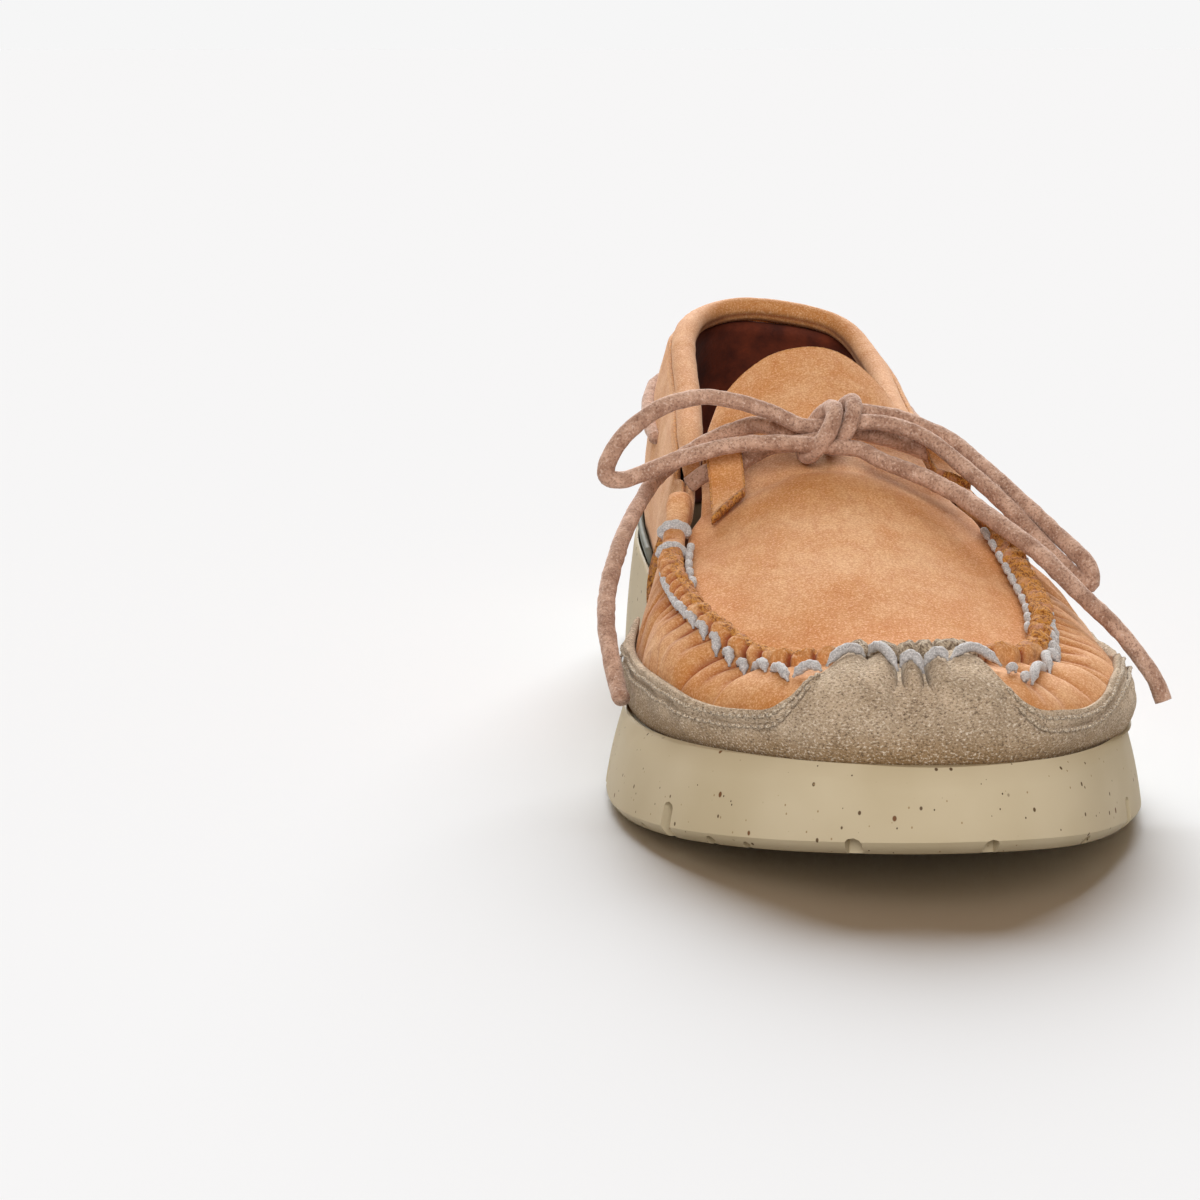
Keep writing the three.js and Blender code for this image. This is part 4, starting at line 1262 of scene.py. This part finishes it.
# The lace's lines over the shoe. Each row is x, distance from the toe tip, height.
RUN_INNER = [
    [-36.4, 149, 62.6], [-32.4, 147.4, 65.8], [-28, 145.4, 67.4], [-23.3, 144, 69.4],
    [-17.3, 143, 72.8], [-10.8, 142, 73.6],
]
RUN_OUTER = [
    [28.2, 152, 66.8], [22.8, 150, 69.8], [14.4, 147.6, 73.2], [8.4, 146, 75], [4.6, 144.4, 76],
]
LOOP_INNER = [
    [-9.4, 143.5, 77.7], [-17.6, 145, 81.2], [-25.6, 146, 83.6], [-34.6, 145, 84.8],
    [-43.8, 143, 82.7], [-52.1, 140, 77.4], [-57, 137.5, 71.3], [-57.8, 136, 67.1],
    [-54.4, 136, 66], [-49.2, 137, 67.3], [-39.5, 137.5, 71], [-27.5, 137, 74],
    [-17.5, 136, 74.8], [-10.4, 136, 74.2],
]
LOOP_OUTER = [
    [3.6, 141, 78.5], [9.8, 140.6, 78.6], [15.8, 138, 77.2], [21.3, 134.4, 74.6],
    [28.3, 128.4, 68.8], [35.3, 120.4, 62.4], [41.9, 110.5, 54.8], [48.4, 101, 47.8],
    [51.6, 97.5, 46.4], [51.4, 100.5, 50.6], [45.9, 110, 56.4], [39.5, 120.5, 62.8],
    [33, 131, 69], [27.1, 139, 74], [20, 144.6, 77.4], [13.2, 147, 79.4], [4.8, 146, 80.6],
]
TAIL_INNER = [
    [-9.2, 147, 75], [-18.2, 152.4, 76.8], [-25.3, 155, 75], [-32.6, 154.4, 71.8],
    [-38.8, 152.4, 68.4], [-44.3, 148.4, 64.8], [-48.7, 142, 60.4], [-53.2, 132, 55.2],
    [-56.6, 122, 50], [-59.4, 112, 44.2], [-60.6, 102, 38.7], [-60.4, 92, 32.6],
    [-59.4, 84, 26.7], [-58.8, 80.5, 25],
]
TAIL_OUTER = [
    [3.4, 136.6, 72.8], [8.4, 132, 70.6], [14.2, 128, 68.6], [19.5, 123.6, 66.6],
    [25.9, 115.4, 63.4], [32, 105, 59.2], [38.8, 94, 54.2], [45.9, 86, 47],
    [54, 79.4, 39], [61, 75.6, 29.6], [63.4, 74, 23.8],
]
# One end of the lace runs in from a side, through the knot, out and back as a loop on the other
# side, through the knot again and out as a tail.
LACE_FROM_INNER = RUN_INNER + [[-4, 141.5, 75]] + LOOP_OUTER + [[-3, 147, 78.6]] + TAIL_INNER
LACE_FROM_OUTER = RUN_OUTER + [[-3, 144, 77.4]] + LOOP_INNER + [[-3.6, 136.2, 73.6]] + TAIL_OUTER
LACE_STEP = 0.6
LACE_SIDES = 18


def lace_rings(line, diameter):
    """Rings of a suede lace: a little flat, and rough."""
    run = np.arange(len(line))[:, None] * LACE_STEP
    oval = 1 + 0.05 * np.cos(2 * ring_angles(LACE_SIDES)[None, :] + run / 17)
    rings = tube_rings(line, diameter / 2 * oval, LACE_SIDES)
    bumps = 0.07 * layered(rings, 2.2, 81)
    bumps[0] = 0
    bumps[-1] = 0
    return line[:, None] + (rings - line[:, None]) * (1 + bumps)[..., None] * 0.98


def lace_mesh(name, line, diameter=LACE_DIAMETER):
    return loft(name, lace_rings(line, diameter), LACE, slot="lace_leather")


def make_lace():
    for name, points, nodes in (
        ("lace_from_inner", LACE_FROM_INNER, ("lace_run_inner", "lace_loop_outer", "lace_tail_inner")),
        ("lace_from_outer", LACE_FROM_OUTER, ("lace_run_outer", "lace_loop_inner", "lace_tail_outer")),
    ):
        line = route(points, LACE_STEP)
        piece = lace_mesh(name, line)
        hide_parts(*nodes)


# The two turns of the knot: middle, slant to the side, reach along the shoe, reach up.
KNOT_TURNS = (((-5.6, -9.2, 76.6), 3.4, 6.6, 5.4), ((0.2, -7.2, 78.0), 2.6, 6.0, 5.2))


def make_knot():
    """Two turns of the lace round the strands that cross in the knot."""
    angle = np.linspace(-0.75 * np.pi, 1.25 * np.pi, 90)
    across, up = np.cos(angle), np.sin(angle)
    parts = []
    for (x, y, z), slant, wide, tall in KNOT_TURNS:
        turn = [x + slant * up, y - 0.9 * wide * across - 1.2 * up, z + tall * up - 1.4 * across]
        parts.append(ring_part(lace_rings(np.stack(turn, 1), LACE_DIAMETER * 1.05)))
    knot = join("lace_knot_turns", parts, LACE, "lace_leather")
    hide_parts("lace_knot")


ANKLE_DIAMETER = 3.8
ANKLE_DROP = 17.0  # the ankle lace, below the top line


def make_ankle_lace():
    """The stretches of lace outside the quarters, whose ends go into the leather."""
    t = np.linspace(0, 1, 120)
    stand = 0.2 + 1.2 * np.minimum(1, 6 * np.minimum(t, 1 - t))
    for name, first, last in (("ankle_lace_inner", 1.5, 2.6), ("ankle_lace_outer", 20.5, 19.4)):
        u = np.linspace(first, last, len(t))
        line = wall(u, 1 - ANKLE_DROP / wall_height(u), stand)
        piece = lace_mesh(name + "_suede", line, ANKLE_DIAMETER)
        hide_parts(name)


# The keepers' middle lines, from the opening's edge over the lace and down.
TAB_INNER = [
    [-28.6, 151.2, 68.8], [-28.8, 147.2, 71.4], [-28.8, 142.8, 70.4], [-28.6, 138, 64.8],
    [-28.9, 132, 61.2], [-29.2, 128, 59.6],
]
TAB_OUTER = [
    [24, 156.4, 72.2], [24.6, 151.6, 74], [25.4, 147, 72.2], [26, 142, 66.8], [27, 136, 64.2],
]
TAB_HALF = 4.2
TAB_THICK = 1.9
TAB_COLUMNS = 17


def tab_outline():
    """Cross-section of a keeper: a crowned upper face and a flat lower one."""
    k = np.linspace(-1, 1, TAB_COLUMNS)
    upper = np.stack([k * TAB_HALF, TAB_THICK + 0.25 * (1 - k * k)], 1)
    lower = np.stack([-k * (TAB_HALF - 0.1), 0 * k], 1)
    return np.concatenate([upper, lower])


def make_tab(name, points, tilt, slant, node):
    """A leather keeper folded over the lace, its free end cut at a slant."""
    line = route(points, 0.5)
    outline = tab_outline()
    side = np.array([1.0, 0, -tilt / 4])
    rings = line[:, None] + outline[None, :, :1] * side + outline[None, :, 1:] * np.array([0, 0, 1.0])
    along = np.gradient(line, axis=0)
    along /= np.linalg.norm(along, axis=1, keepdims=True)
    t = np.linspace(0, 1, len(line))
    reach = ease(0.35, 1, t)[:, None] * outline[None, :, 0] / TAB_HALF
    rings -= along[:, None] * (slant * reach)[..., None]
    rings += 0.15 * layered(rings, 4, 91)[..., None] * np.array([0.3, 0.3, 1])
    raw = np.zeros(rings.shape[:2])
    raw[:, [0, TAB_COLUMNS - 1, TAB_COLUMNS, 2 * TAB_COLUMNS - 1]] = 1
    raw[:2] = 0.8
    raw[-2:] = 1
    piece = loft(name, rings, NUBUCK, slot="nubuck", tags={"raw": raw})
    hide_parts(node)


# ---- Stage ----

CAMERA_PLACE = (-0.11106, -0.6910, 0.1718)
CAMERA_PITCH = 11.26  # degrees down
CAMERA_TURN = 4.36  # degrees towards +X
CAMERA_LENS = 85.5
BACKDROP = (0.922, 0.922, 0.922, 1)
BOUNCE = (1, 0.66, 0.4, 1)
BOUNCE_STRENGTH = 0.22
FLOOR_COLOUR = (0.875, 0.905, 0.945, 1)
FLOOR_HALF = 30000.0
FLOOR_DROP = 0.05


def make_camera():
    data = bpy.data.cameras.new("camera")
    data.sensor_width = 36
    data.lens = CAMERA_LENS
    data.clip_end = 100
    camera = bpy.data.objects.new("camera", data)
    camera.location = CAMERA_PLACE
    camera.rotation_euler = (math.radians(90 - CAMERA_PITCH), 0, math.radians(-CAMERA_TURN))
    bpy.context.scene.collection.objects.link(camera)
    bpy.context.scene.camera = camera


def light_only_the_shoe(lamp, names):
    """Keeps a lamp off everything but the named objects."""
    lit = bpy.data.collections.new(lamp.name + "_lit")
    for name in names:
        lit.objects.link(bpy.data.objects[name])
    lamp.light_linking.receiver_collection = lit


def add_sun(name, energy, spread, colour, turn):
    """A soft far light; `turn` tips it from straight down, in degrees about X, Y and Z."""
    sun = bpy.data.lights.new(name, "SUN")
    sun.energy = energy
    sun.angle = math.radians(spread)
    sun.color = colour
    lamp = bpy.data.objects.new(name, sun)
    lamp.rotation_euler = [math.radians(a) for a in turn]
    bpy.context.scene.collection.objects.link(lamp)
    return lamp


def make_world():
    """Even warm light from all round, with a plain pale backdrop for the camera."""
    world = bpy.data.worlds.new("studio")
    bpy.context.scene.world = world
    world.use_nodes = True
    nodes = world.node_tree.nodes
    links = world.node_tree.links
    back = nodes["Background"]
    back.inputs["Color"].default_value = BOUNCE
    back.inputs["Strength"].default_value = BOUNCE_STRENGTH
    seen = nodes.new("ShaderNodeBackground")
    seen.inputs["Color"].default_value = BACKDROP
    pick = nodes.new("ShaderNodeMixShader")
    path = nodes.new("ShaderNodeLightPath")
    links.new(path.outputs["Is Camera Ray"], pick.inputs[0])
    links.new(back.outputs[0], pick.inputs[1])
    links.new(seen.outputs[0], pick.inputs[2])
    links.new(pick.outputs[0], nodes["World Output"].inputs["Surface"])


def make_lights():
    """A window behind the shoe, and a fill in front that leaves the floor's shadow alone."""
    add_sun("window", 5.25, 45, (0.95, 0.985, 1.0), (-58, 0, -6))
    fill = add_sun("front_fill", 2.1, 40, (1.0, 0.98, 0.96), (57, 0, -11))
    light_only_the_shoe(fill, [obj.name for obj in bpy.data.objects if obj.type == "MESH"])


def make_floor():
    look = Look("floor", 0.9)
    look.shader.inputs["Specular IOR Level"].default_value = 0.0
    look.finish(FLOOR_COLOUR)
    corners = ((-1, -1), (1, -1), (1, 1), (-1, 1))
    points = [(x * FLOOR_HALF, y * FLOOR_HALF, -FLOOR_DROP) for x, y in corners]
    floor = make_mesh("floor", points, [(0, 1, 2, 3)], look.mat, body=None, smooth=False)


# ---- Everything ----


def dress_hidden_nodes():
    """Gives the CAD nodes that stay in the scene their materials."""
    for name, look in (("insole_board", BOARD), ("heel_counter", BOARD), ("footbed", FOOTBED)):
        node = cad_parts[name]
        node.data.materials.clear()
        node.data.materials.append(look)


make_camera()
make_lace()
make_sole()
make_vamp()
make_guard()
make_guard_stitches()
make_quarter("inner_quarter", 0.1, 5.2, "quarter_inner")
make_quarter("outer_quarter", 16.8, 21.9, "quarter_outer")
make_heel_guard()
make_back_strip()
make_back_stitches()
make_collar()
make_lining()
make_ridge()
make_seam_thread()
make_wraps()
make_apron()
make_knot()
make_ankle_lace()
make_tab("keeper_inner", TAB_INNER, -1.4, 4, "lace_tab_inner")
make_tab("keeper_outer", TAB_OUTER, 1.4, 0, "lace_tab_outer")
dress_hidden_nodes()
bpy.context.scene.view_settings.view_transform = "Standard"
make_world()
make_lights()
make_floor()
